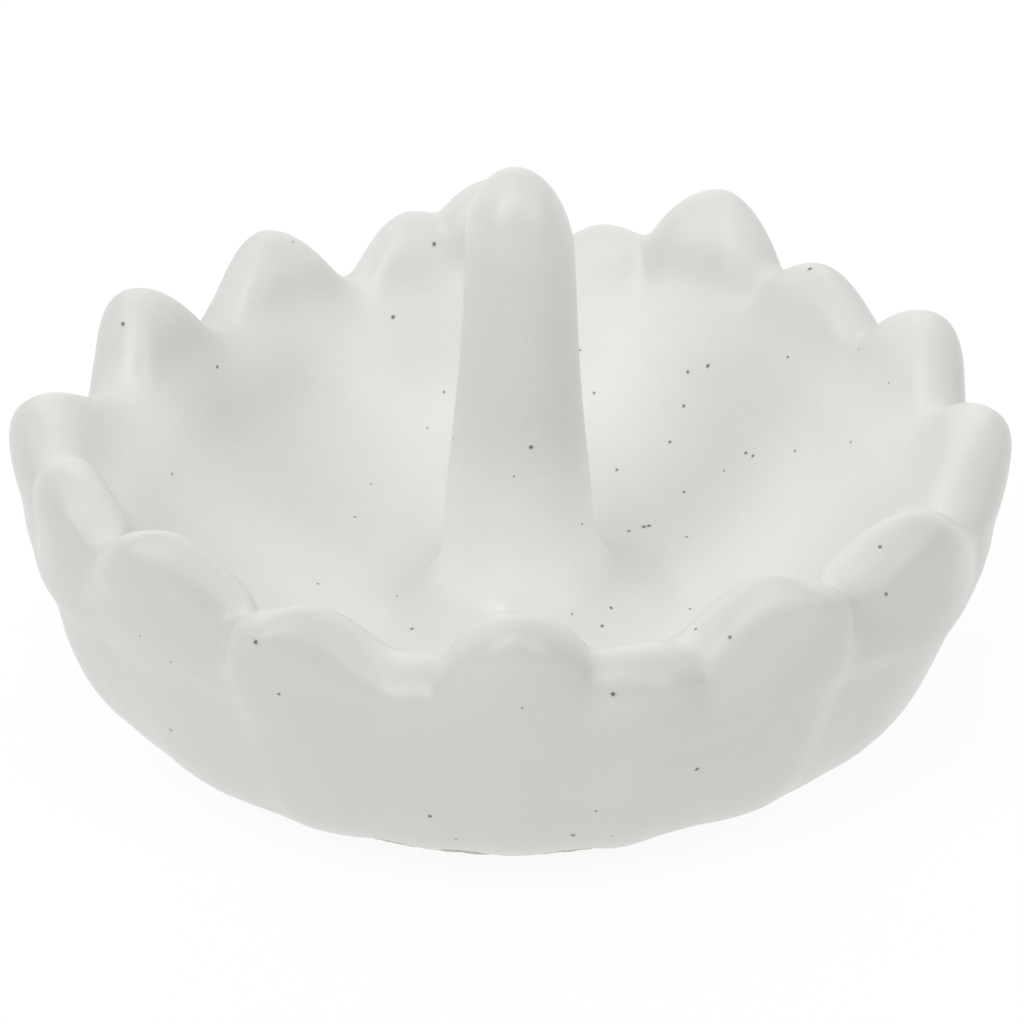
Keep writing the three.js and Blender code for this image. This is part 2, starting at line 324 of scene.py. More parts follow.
@dataclass(frozen=True)
class PackedDish:
    """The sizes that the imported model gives."""

    foot_inner: float
    foot_outer: float
    foot_height: float
    floor_height: float
    rim_height: float
    cone_centre: float
    cone_base: float
    cone_seat: float
    cone_top: float
    petals: list[Petal]

    @classmethod
    def read(cls, nodes: dict[str, bpy.types.Object]) -> PackedDish:
        """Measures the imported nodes.

        Args:
            nodes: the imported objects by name.

        Returns:
            The dish's sizes in millimetres.
        """
        foot = mesh_points(nodes["foot_ring"].data)
        bowl = mesh_points(nodes["bowl"].data)
        cone = mesh_points(nodes["ring_cone"].data)
        foot_inner = float(np.hypot(foot[:, 0], foot[:, 1]).min())
        middle = bowl[np.hypot(bowl[:, 0], bowl[:, 1]) < foot_inner / 2]
        names = sorted(name for name in nodes if name.startswith("petal_"))
        return cls(
            foot_inner=foot_inner,
            foot_outer=float(foot[:, 0].max()),
            foot_height=float(foot[:, 2].max()),
            floor_height=float(middle[:, 2].max()),
            rim_height=float(bowl[:, 2].max()),
            cone_centre=float(cone[:, 0].max() + cone[:, 0].min()) / 2,
            cone_base=float(cone[:, 0].max() - cone[:, 0].min()) / 2,
            cone_seat=float(cone[:, 2].min()),
            cone_top=float(cone[:, 2].max()),
            petals=cls.read_petals({name: mesh_points(nodes[name].data) for name in names}),
        )

    @staticmethod
    def read_petals(shapes: dict[str, Array]) -> list[Petal]:
        """Finds each petal's tip and the creases between neighbours.

        Args:
            shapes: the points of each petal by name, anticlockwise round the dish.

        Returns:
            The petals in the same order.
        """
        near_crease = math.radians(0.7)
        outer_share = 0.9
        tips = []
        sides = []
        for points in shapes.values():
            tip = points[points[:, 2].argmax()]
            bearing = math.atan2(tip[1], tip[0])
            turn = wrapped(np.arctan2(points[:, 1], points[:, 0]) - bearing)
            outer = np.hypot(points[:, 0], points[:, 1]) > np.hypot(tip[0], tip[1]) * outer_share
            edges = (turn[outer].min(), turn[outer].max())
            tops = [points[abs(turn - edge) < near_crease, 2].max() for edge in edges]
            tips.append((bearing, float(np.hypot(tip[0], tip[1])), float(tip[2])))
            sides.append([(bearing + edge, top) for edge, top in zip(edges, tops)])
        creases = []
        for here, after in zip(sides, sides[1:] + sides[:1]):
            gap = wrapped(after[0][0] - here[1][0])
            creases.append(Crease(here[1][0] + gap / 2, max(here[1][1], after[0][1])))
        return [
            Petal(name, *tips[i], right=creases[i - 1], left=creases[i])
            for i, name in enumerate(shapes)
        ]


@dataclass(frozen=True)
class Lattice:
    """A cubic lattice of signed distances in millimetres, below zero inside the clay."""

    spacing: float
    low: tuple[int, int, int]
    shape: tuple[int, int, int]
    band: float

    @classmethod
    def round_dish(cls, dish: PackedDish, spacing: float, band: float) -> Lattice:
        """Makes the lattice that holds the whole dish.

        Args:
            dish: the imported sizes.
            spacing: the step between lattice points.
            band: how far from a surface distances are kept.

        Returns:
            The lattice, with a margin of one band round the dish.
        """
        bulge_share = 1.1
        reach = max(petal.reach for petal in dish.petals) * bulge_share + band
        side = math.ceil(reach / spacing)
        bottom = math.ceil(band / spacing)
        top = math.ceil((dish.cone_top + band) / spacing)
        return cls(spacing, (-side, -side, -bottom), (2 * side, 2 * side, bottom + top), band)

    def axes(self) -> list[Array]:
        """Gives the lattice's coordinates along X, Y and Z, shaped to broadcast together."""
        lines = []
        for axis in range(3):
            line = (np.arange(self.shape[axis]) + self.low[axis]) * self.spacing
            sides = [1, 1, 1]
            sides[axis] = -1
            lines.append(line.astype(np.float32).reshape(sides))
        return lines

    def window(self, points: Array) -> tuple[slice, slice, slice]:
        """Gives the part of the lattice that lies within a band of some points."""
        first = np.floor((points.min(axis=0) - self.band) / self.spacing).astype(int) - self.low
        last = np.ceil((points.max(axis=0) + self.band) / self.spacing).astype(int) - self.low
        return tuple(slice(max(a, 0), b) for a, b in zip(first, last))

    def distances(self, points: Array, faces: Array) -> Array:
        """Gives the signed distance to a closed mesh at every lattice point.

        Args:
            points: the mesh's points.
            faces: its triangles or quads.

        Returns:
            The distances, kept within the band.
        """
        kind = "triangles" if faces.shape[1] == 3 else "quads"
        step = openvdb.createLinearTransform(voxelSize=self.spacing)
        grid = openvdb.FloatGrid.createLevelSetFromPolygons(
            points.astype(np.float32), transform=step, halfWidth=self.band / self.spacing,
            **{kind: faces.astype(np.uint32)})
        values = np.empty(self.shape, np.float32)
        grid.copyToArray(values, ijk=self.low)
        return values

    def surface(self, values: Array, level: float = 0.0) -> tuple[Array, Array]:
        """Gives the surface where the distances equal a level.

        Args:
            values: the distances.
            level: the distance of the wanted surface.

        Returns:
            Its points and quads, which face outwards.
        """
        grid = openvdb.FloatGrid(self.band)
        grid.transform = openvdb.createLinearTransform(voxelSize=self.spacing)
        grid.copyFromArray(values, ijk=self.low)
        return grid.convertToQuads(isovalue=level)

    def closed(self, values: Array, radius: float) -> Array:
        """Fills the hollows that a ball of some radius can't reach, as a fillet does.

        Args:
            values: the distances.
            radius: the ball's radius.

        Returns:
            The new distances.
        """
        return self.distances(*self.surface(values, radius)) + np.float32(radius)

    def blurred(self, values: Array, spread: float) -> Array:
        """Blurs the distances with a bell curve, which rounds every edge a little.

        Args:
            values: the distances.
            spread: the curve's standard deviation in millimetres.

        Returns:
            The blurred distances.
        """
        steps = spread / self.spacing
        reach = max(1, math.ceil(steps * 3))
        weights = np.exp(-0.5 * (np.arange(-reach, reach + 1) / steps) ** 2)
        weights = (weights / weights.sum()).astype(np.float32)
        for axis in range(3):
            size = values.shape[axis]
            padding = [(reach, reach) if a == axis else (0, 0) for a in range(3)]
            wide = np.pad(values, padding, mode="edge")
            values = np.zeros_like(values)
            for k, weight in enumerate(weights):
                window = [slice(None)] * 3
                window[axis] = slice(k, k + size)
                values += weight * wide[tuple(window)]
        return values

    def sample(self, values: Array, points: Array) -> Array:
        """Reads the distances between lattice points.

        Args:
            values: the distances.
            points: places in millimetres, one row each.

        Returns:
            One distance for each place.
        """
        place = points / self.spacing - np.array(self.low)
        limits = np.array(self.shape) - 2
        corner = np.clip(np.floor(place).astype(int), 0, limits)
        share = np.clip(place - corner, 0, 1)
        total = np.zeros(len(points))
        for i in (0, 1):
            for j in (0, 1):
                for k in (0, 1):
                    weight = ((share[:, 0] if i else 1 - share[:, 0])
                              * (share[:, 1] if j else 1 - share[:, 1])
                              * (share[:, 2] if k else 1 - share[:, 2]))
                    total += weight * values[corner[:, 0] + i, corner[:, 1] + j, corner[:, 2] + k]
        return total

    def normals(self, values: Array, points: Array) -> Array:
        """Gives the outward direction at places on or near the surface, one row each."""
        step = self.spacing
        slopes = []
        for axis in range(3):
            shift = np.zeros(3)
            shift[axis] = step
            slopes.append(self.sample(values, points + shift) - self.sample(values, points - shift))
        direction = np.stack(slopes, axis=1)
        length = np.linalg.norm(direction, axis=1, keepdims=True)
        return direction / np.maximum(length, LEAST_LENGTH)


def smooth_union(first: Array, second: Array, softness: float) -> Array:
    """Joins two solids with a soft hollow between them.

    Args:
        first: signed distances to one solid.
        second: signed distances to the other.
        softness: the width of the band in which they flow together.

    Returns:
        The joined distances.
    """
    nearest = np.minimum(first, second)
    near = np.maximum(softness - np.abs(first - second), 0) / softness
    at_surface = np.clip(2 - 2 * np.abs(nearest) / softness, 0, 1)
    return (nearest - near * near * at_surface * softness / 4).astype(np.float32)


@dataclass(frozen=True)
class PadRule:
    """How a petal's pad of clay is shaped.

    Reaches and rises are measured from the foot ring. The pad swells inwards below its tip, over
    swell_end times swell_length. Its lift and lap fade over lap_length.
    """

    start_tuck: float = 3.4
    start_drop: float = 0.5
    heel_reach: float = 12.7
    heel_rise: float = 1.0
    belly_reach: float = 7.4
    belly_rise: float = 11.0
    tip_lean: float = 1.0
    half_thickness: float = 4.3
    tip_round: float = 7.5
    start_round: float = 15.0
    start_close: float = 3.0
    flare_length: float = 16.0
    flare_share: float = 0.4
    swell_length: float = 22.0
    swell: float = 0.3
    swell_power: float = 2.2
    swell_end: float = 1.99
    lap_length: float = 19.0
    shoulder_angle: float = math.radians(8)
    section_power: float = 2.1
    inner_power: float = 3.6
    tip_power: float = 2.2
    shoulder_power: float = 1.7
    least_drop: float = 1.2
    ring_power: float = 1.5
    rings: int = 60
    section_points: int = 72
    merge_distance: float = 0.001

    def corners(self, dish: PackedDish, reach: float, height: float) -> Array:
        """Gives the corners that draw a pad's middle line.

        Args:
            dish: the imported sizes.
            reach: how far out the tip is.
            height: how high it is.

        Returns:
            Rows of radius and height for the start, the heel, the belly and the tip.
        """
        foot = dish.foot_outer
        base = dish.foot_height
        return np.array([
            [foot - self.start_tuck, base - self.start_drop],
            [foot + self.heel_reach, base + self.heel_rise],
            [foot + self.belly_reach, base + self.belly_rise],
            [reach + self.tip_lean, height],
        ])


class PetalPads:
    """Makes the pads of clay that are pressed round the bowl, with one Geometry Nodes rule."""

    def __init__(self, dish: PackedDish, rule: PadRule) -> None:
        """Builds the node tree.

        Args:
            dish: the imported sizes.
            rule: the shape of a pad.
        """
        self.dish = dish
        self.rule = rule
        self.tree = bpy.data.node_groups.new("petal pad", "GeometryNodeTree")
        self.given = add_sockets(self.tree, self.sockets(), "Pad")
        self.add_rule()

    def sockets(self) -> list[tuple[str, str, object]]:
        """Lists the tree's inputs: the name, kind and usual value of each."""
        rule = self.rule
        lengths = {
            "Right Drop": rule.tip_round, "Left Drop": rule.tip_round,
            "Half Thickness": rule.half_thickness, "Tip Round": rule.tip_round,
            "Start Round": rule.start_round, "Start Close": rule.start_close,
            "Flare Length": rule.flare_length, "Swell Length": rule.swell_length,
            "Swell": rule.swell, "Lift": 0.0, "Lap": 0.0, "Lap Length": rule.lap_length,
        }
        shares = {
            "Bearing": 0.0, "Right Angle": rule.shoulder_angle, "Left Angle": rule.shoulder_angle,
            "Flare Share": rule.flare_share, "Shoulder Angle": rule.shoulder_angle,
            "Section Power": rule.section_power, "Inner Power": rule.inner_power,
            "Tip Power": rule.tip_power, "Shoulder Power": rule.shoulder_power,
            "Ring Power": rule.ring_power, "Swell Power": rule.swell_power,
        }
        counts = {"Rings": rule.rings, "Section Points": rule.section_points}
        sockets = [(name, "NodeSocketVector", Vector()) for name in ("Start", "Heel", "Belly", "Tip")]
        sockets += [(name, "NodeSocketFloat", value * MM) for name, value in lengths.items()]
        sockets += [(name, "NodeSocketFloat", value) for name, value in shares.items()]
        sockets += [(name, "NodeSocketInt", value) for name, value in counts.items()]
        return sockets

    def rounded(self, share: Node, power: object) -> Node:
        """Adds the sums for (1 - share ^ power) ^ (1 / power), the side of a rounded square.

        Args:
            share: how far across the square, from 0 to 1.
            power: how square it is.

        Returns:
            The last sum's node.
        """
        tree = self.tree
        raised = add_node(tree, MATH, (share, power), operation="POWER")
        rest = add_node(tree, MATH, (1.0, raised), operation="SUBTRACT")
        root = add_node(tree, MATH, (1.0, power), operation="DIVIDE")
        return add_node(tree, MATH, (rest, root), operation="POWER")

    def cap(self, distance: Node, length: object, power: object) -> Node:
        """Adds the sums for a rounded end.

        Args:
            distance: the distance from the end.
            length: how far the rounding reaches.
            power: how blunt it is.

        Returns:
            A node that rises from 0 at the end to 1 where the rounding stops.
        """
        tree = self.tree
        share = add_node(tree, MATH, (distance, length), operation="DIVIDE")
        rest = add_node(tree, MATH, (1.0, share), operation="SUBTRACT", use_clamp=True)
        return self.rounded(rest, power)

    def bell(self, distance: Node, length: object) -> Node:
        """Adds the sums for a bell curve.

        Args:
            distance: the distance from its middle.
            length: how fast it falls.

        Returns:
            A node that falls from 1 at the middle towards 0.
        """
        tree = self.tree
        share = add_node(tree, MATH, (distance, length), operation="DIVIDE")
        square = add_node(tree, MATH, (share, share), operation="MULTIPLY")
        square = add_node(tree, MATH, (square, -1.0), operation="MULTIPLY")
        return add_node(tree, MATH, (square,), operation="EXPONENT")

    def half_width(self, below: Node, is_left: Node) -> Node:
        """Adds the sums for a pad's half width, as an angle round the dish.

        It is round at the shoulder, reaches the crease at the crease's own depth and spreads
        under its neighbour below that.

        Args:
            below: the distance below the tip.
            is_left: 1 on the pad's left side and 0 on its right.

        Returns:
            The last sum's node.
        """
        tree = self.tree
        given = self.given
        angle, drop = [
            add_node(tree, "ShaderNodeMix", {
                "Factor": is_left, "A": given[f"Right {name}"], "B": given[f"Left {name}"]})
            for name in ("Angle", "Drop")
        ]
        depth = add_node(tree, MATH, (below, drop), operation="DIVIDE", use_clamp=True)
        rest = add_node(tree, MATH, (1.0, depth), operation="SUBTRACT")
        full = self.rounded(rest, given["Shoulder Power"])
        slim = add_node(tree, MATH, (depth, given["Shoulder Power"]), operation="POWER")
        fullness = add_node(tree, MATH, (given["Shoulder Angle"], angle), operation="DIVIDE",
                            use_clamp=True)
        shoulder = add_node(tree, "ShaderNodeMix", {"Factor": fullness, "A": slim, "B": full})
        past = add_node(tree, MATH, (below, drop), operation="SUBTRACT")
        past = add_node(tree, MATH, (past, 0.0), operation="MAXIMUM")
        narrow = self.bell(past, given["Flare Length"])
        flare = add_node(tree, MATH, (1.0, narrow), operation="SUBTRACT")
        width = add_node(tree, MATH, (flare, given["Flare Share"], shoulder), operation="MULTIPLY_ADD")
        return add_node(tree, MATH, (width, angle), operation="MULTIPLY")

    def section(self, turn: Node) -> list[Node]:
        """Adds the sums for a pad's section, a rounded oblong that is squarer on its inner side.

        Args:
            turn: the angle round the section.

        Returns:
            Two nodes that go from -1 to 1: how far out a place is, and how far to the left.
        """
        tree = self.tree
        across = add_node(tree, MATH, (turn,), operation="COSINE")
        is_inner = add_node(tree, MATH, (across, 0.0), operation="LESS_THAN")
        power = add_node(tree, "ShaderNodeMix", {
            "Factor": is_inner, "A": self.given["Section Power"], "B": self.given["Inner Power"]})
        share = add_node(tree, MATH, (2.0, power), operation="DIVIDE")
        section = []
        for wave_kind in ("COSINE", "SINE"):
            wave = add_node(tree, MATH, (turn,), operation=wave_kind)
            size = add_node(tree, MATH, (wave,), operation="ABSOLUTE")
            size = add_node(tree, MATH, (size, share), operation="POWER")
            side = add_node(tree, MATH, (wave,), operation="SIGN")
            section.append(add_node(tree, MATH, (side, size), operation="MULTIPLY"))
        return section

    def outward(self, section: list[Node], above: Node, below: Node) -> Node:
        """Adds the sums for how far the pad's face is from its middle line.

        Args:
            section: how far out and how far to the left a place in the section is.
            above: the distance above the start.
            below: the distance below the tip.

        Returns:
            The last sum's node.
        """
        tree = self.tree
        given = self.given
        start = self.cap(above, given["Start Round"], CIRCLE_POWER)
        end = self.cap(below, given["Tip Round"], given["Tip Power"])
        thickness = add_node(tree, MATH, (start, end), operation="MULTIPLY")
        thickness = add_node(tree, MATH, (thickness, given["Half Thickness"]), operation="MULTIPLY")
        outward = add_node(tree, MATH, (section[1], given["Lap"], given["Lift"]),
                           operation="MULTIPLY_ADD")
        fade = self.bell(below, given["Lap Length"])
        outward = add_node(tree, MATH, (outward, fade), operation="MULTIPLY")
        outward = add_node(tree, MATH, (section[0], thickness, outward), operation="MULTIPLY_ADD")
        past_tip = add_node(tree, MATH, (below, given["Swell Length"]), operation="DIVIDE")
        past_tip = add_node(tree, MATH, (past_tip, self.rule.swell_end), operation="MINIMUM")
        bulge = add_node(tree, MATH, (past_tip, math.pi / 2), operation="MULTIPLY")
        bulge = add_node(tree, MATH, (bulge,), operation="SINE")
        bulge = add_node(tree, MATH, (bulge, given["Swell Power"]), operation="POWER")
        bulge = add_node(tree, MATH, (bulge, given["Swell"]), operation="MULTIPLY")
        inner_side = add_node(tree, MATH, (section[0], 0.0), operation="MINIMUM")
        return add_node(tree, MATH, (inner_side, bulge, outward), operation="MULTIPLY_ADD")

    def add_rule(self) -> None:
        """Builds the rule: a section that is swept along a curve and bent round the dish."""
        tree = self.tree
        given = self.given
        spine = add_node(tree, "GeometryNodeCurvePrimitiveBezierSegment", {
            "Resolution": self.rule.rings, "Start": given["Start"], "Start Handle": given["Heel"],
            "End Handle": given["Belly"], "End": given["Tip"]}, mode="POSITION")
        length = add_node(tree, "GeometryNodeCurveLength", (spine,))
        sheet = add_node(tree, "GeometryNodeMeshGrid", {
            "Size X": 1.0, "Size Y": 1.0, "Vertices X": given["Rings"],
            "Vertices Y": given["Section Points"]})
        place = add_node(tree, "ShaderNodeSeparateXYZ", (add_node(tree, "GeometryNodeInputPosition"),))
        left_over = add_node(tree, MATH, (0.5, place.outputs["X"]), operation="SUBTRACT")
        from_tip = add_node(tree, MATH, (left_over, given["Ring Power"]), operation="POWER")
        along = add_node(tree, MATH, (1.0, from_tip), operation="SUBTRACT")
        below = add_node(tree, MATH, (from_tip, length), operation="MULTIPLY")
        above = add_node(tree, MATH, (along, length), operation="MULTIPLY")
        around = add_node(tree, MATH, (place.outputs["Y"], 0.5), operation="ADD")
        turn = add_node(tree, MATH, (around, 2 * math.pi), operation="MULTIPLY")

        section = self.section(turn)
        outward = self.outward(section, above, below)
        is_left = add_node(tree, MATH, (section[1], 0.0), operation="GREATER_THAN")
        closing = self.cap(above, given["Start Close"], CIRCLE_POWER)
        width = add_node(tree, MATH, (self.half_width(below, is_left), closing), operation="MULTIPLY")
        bearing = add_node(tree, MATH, (section[1], width, given["Bearing"]), operation="MULTIPLY_ADD")

        found = add_node(tree, "GeometryNodeSampleCurve", {"Curves": spine, "Factor": along},
                         mode="FACTOR", use_all_curves=True)
        point = add_node(tree, "ShaderNodeSeparateXYZ", (found.outputs["Position"],)).outputs
        heading = add_node(tree, "ShaderNodeSeparateXYZ", (found.outputs["Tangent"],)).outputs
        reach = add_node(tree, MATH, (heading["Z"], outward, point["X"]), operation="MULTIPLY_ADD")
        fall = add_node(tree, MATH, (heading["X"], outward), operation="MULTIPLY")
        height = add_node(tree, MATH, (point["Z"], fall), operation="SUBTRACT")
        east, north = [
            add_node(tree, MATH, (reach, add_node(tree, MATH, (bearing,), operation=wave_kind)),
                     operation="MULTIPLY")
            for wave_kind in ("COSINE", "SINE")
        ]
        spot = add_node(tree, "ShaderNodeCombineXYZ", (east, north, height))
        placed = add_node(tree, "GeometryNodeSetPosition", {
            "Geometry": sheet.outputs["Mesh"], "Position": spot})
        merged = add_node(tree, "GeometryNodeMergeByDistance", {
            "Geometry": placed, "Distance": self.rule.merge_distance * MM})
        real = add_node(tree, "GeometryNodeRealizeInstances", (merged,))
        dressed = add_node(tree, "GeometryNodeSetMaterial", {"Geometry": real})
        add_node(tree, "NodeGroupOutput", (dressed,))

    def shape(self, petal: Petal, trim: Trim) -> tuple[Array, Array]:
        """Makes one pad.

        Args:
            petal: the petal's tip and creases.
            trim: how it lies over its neighbours.

        Returns:
            The pad's points and triangles.
        """
        least = self.rule.least_drop
        values = {
            "Right Drop": max(petal.height - petal.right.height, least) * MM,
            "Left Drop": max(petal.height - petal.left.height, least) * MM,
            "Lift": trim.lift * MM,
            "Lap": trim.lap * MM,
            "Bearing": petal.bearing,
            "Right Angle": (petal.bearing - petal.right.bearing) % (2 * math.pi),
            "Left Angle": (petal.left.bearing - petal.bearing) % (2 * math.pi),
        }
        corners = self.rule.corners(self.dish, petal.reach, petal.height)
        for name, (reach, height) in zip(("Start", "Heel", "Belly", "Tip"), corners.tolist()):
            values[name] = Vector((reach, 0, height)) * MM
        holder = link_mesh("pad holder", bpy.data.meshes.new("pad holder"))
        mesh = run_rule(holder, self.tree, values)
        points = mesh_points(mesh)
        triangles = mesh_triangles(mesh)
        bpy.data.meshes.remove(mesh)
        discard(holder)
        return points, triangles


@dataclass(frozen=True)
class PhotoCamera:
    """The photograph's viewpoint, found by matching the dish's outline and the cone's height."""

    elevation: float = math.radians(28)
    distance: float = 700.0
    aim: tuple[float, float, float] = (0.1, 0.0, 22.5)
    focal_pixels: float = 6391.0
    sensor: float = 36.0

    def place(self) -> Array:
        """Gives the camera's place."""
        back = np.array([0.0, -math.cos(self.elevation), math.sin(self.elevation)])
        return np.array(self.aim) + back * self.distance

    def build(self) -> bpy.types.Object:
        """Adds the camera to the scene and looks through it."""
        lens = bpy.data.cameras.new("photo camera")
        lens.sensor_width = self.sensor
        lens.lens = self.focal_pixels * self.sensor / PHOTO_PIXELS
        camera = bpy.data.objects.new("photo camera", lens)
        camera.location = Vector(self.place()) * MM
        camera.rotation_euler = (math.pi / 2 - self.elevation, 0.0, 0.0)
        bpy.context.scene.collection.objects.link(camera)
        bpy.context.scene.camera = camera
        return camera

    def on_round(self, pixel: tuple[float, float], radius: float, near: float) -> tuple[float, float]:
        """Finds where a pixel of the photograph meets an upright round wall.

        Args:
            pixel: the pixel, across and down.
            radius: the wall's radius about the dish's middle.
            near: the bearing that the place is near, which tells the front from the back.

        Returns:
            The place's bearing and its height.
        """
        start = self.place()
        heading = self.sight_line(pixel)
        square = heading[0] ** 2 + heading[1] ** 2
        half = start[0] * heading[0] + start[1] * heading[1]
        rest = start[0] ** 2 + start[1] ** 2 - radius ** 2
        root = math.sqrt(max(half * half - square * rest, 0.0))
        places = [start + heading * (side * root - half) / square for side in (-1, 1)]
        bearings = [math.atan2(place[1], place[0]) for place in places]
        apart = [abs(wrapped(bearing - near)) for bearing in bearings]
        nearest = apart.index(min(apart))
        return bearings[nearest], float(places[nearest][2])

    def sight_line(self, pixel: tuple[float, float]) -> Array:
        """Gives the direction in which a pixel of the photograph looks."""
        across = (pixel[0] - PHOTO_PIXELS / 2) / self.focal_pixels
        up = (PHOTO_PIXELS / 2 - pixel[1]) / self.focal_pixels
        slope = (math.sin(self.elevation), math.cos(self.elevation))
        direction = np.array([across, slope[1] + up * slope[0], up * slope[1] - slope[0]])
        return direction / np.linalg.norm(direction)


@dataclass(frozen=True)
class HandMark:
    """A place where the maker's hand pressed the clay in, or left it full where depth is below 0."""

    pixel: tuple[int, int]
    spread: float
    depth: float


HAND_MARKS: tuple[HandMark, ...] = (
    HandMark(pixel=(885, 698), spread=8.0, depth=1.0),
    HandMark(pixel=(155, 722), spread=7.0, depth=0.8),
    HandMark(pixel=(90, 640), spread=7.0, depth=-1.4),
    HandMark(pixel=(32, 520), spread=6.0, depth=0.6),
    HandMark(pixel=(310, 808), spread=7.0, depth=0.5),
    HandMark(pixel=(923, 636), spread=6.0, depth=-1.7),
    HandMark(pixel=(730, 800), spread=5.5, depth=0.5),
)


@dataclass(frozen=True)
class Trim:
    """Where the photograph shows one petal, and how it differs from a plain pad.

    tip is the pixel of its top, and crease the pixel where the crease on its anticlockwise side
    starts. rise makes the pad taller, lift moves it outwards, and lap moves its anticlockwise side
    outwards and its other side inwards, so that it lies over one neighbour and under the other.
    dip makes that crease deeper.
    """

    tip: tuple[int, int] | None = None
    crease: tuple[int, int] | None = None
    rise: float = 0.0
    lift: float = 0.0
    lap: float = 0.0
    dip: float = 0.0


TRIMS: dict[str, Trim] = {
    "petal_01": Trim(crease=(590, 650), dip=0.6),
    "petal_02": Trim(rise=-0.6, lift=-0.3, dip=0.8),
    "petal_03": Trim(tip=(790, 574), rise=1.0, lift=0.8, lap=2.0),
    "petal_04": Trim(lift=0.3, lap=1.0),
    "petal_05": Trim(rise=0.1),
    "petal_06": Trim(tip=(928, 312), crease=(876, 336), rise=-0.1),
    "petal_07": Trim(tip=(820, 266), crease=(777, 275), lift=-0.2),
    "petal_08": Trim(tip=(713, 193), crease=(645, 233), rise=0.1, lift=1.6),
    "petal_09": Trim(tip=(605, 225), crease=(564, 240), rise=-0.4),
    "petal_10": Trim(crease=(441, 213), rise=-0.3),
    "petal_11": Trim(tip=(411, 214), crease=(348, 284), rise=-0.3, lift=-0.4),
    "petal_12": Trim(tip=(266, 233), crease=(199, 329), rise=-0.1, lift=-0.3, dip=0.6),
    "petal_13": Trim(tip=(127, 291), lift=-0.7, dip=1.4),
    "petal_14": Trim(rise=-0.3),
    "petal_15": Trim(crease=(112, 535), lift=-0.7),
    "petal_16": Trim(crease=(243, 603), rise=2.0, lift=1.0, lap=-1.7),
    "petal_17": Trim(tip=(285, 603), crease=(382, 658), rise=0.4, lift=0.7, lap=-1.5, dip=1.2),
    "petal_18": Trim(tip=(412, 656), crease=(447, 657), rise=-2.0, lift=-0.9, dip=1.2),
}


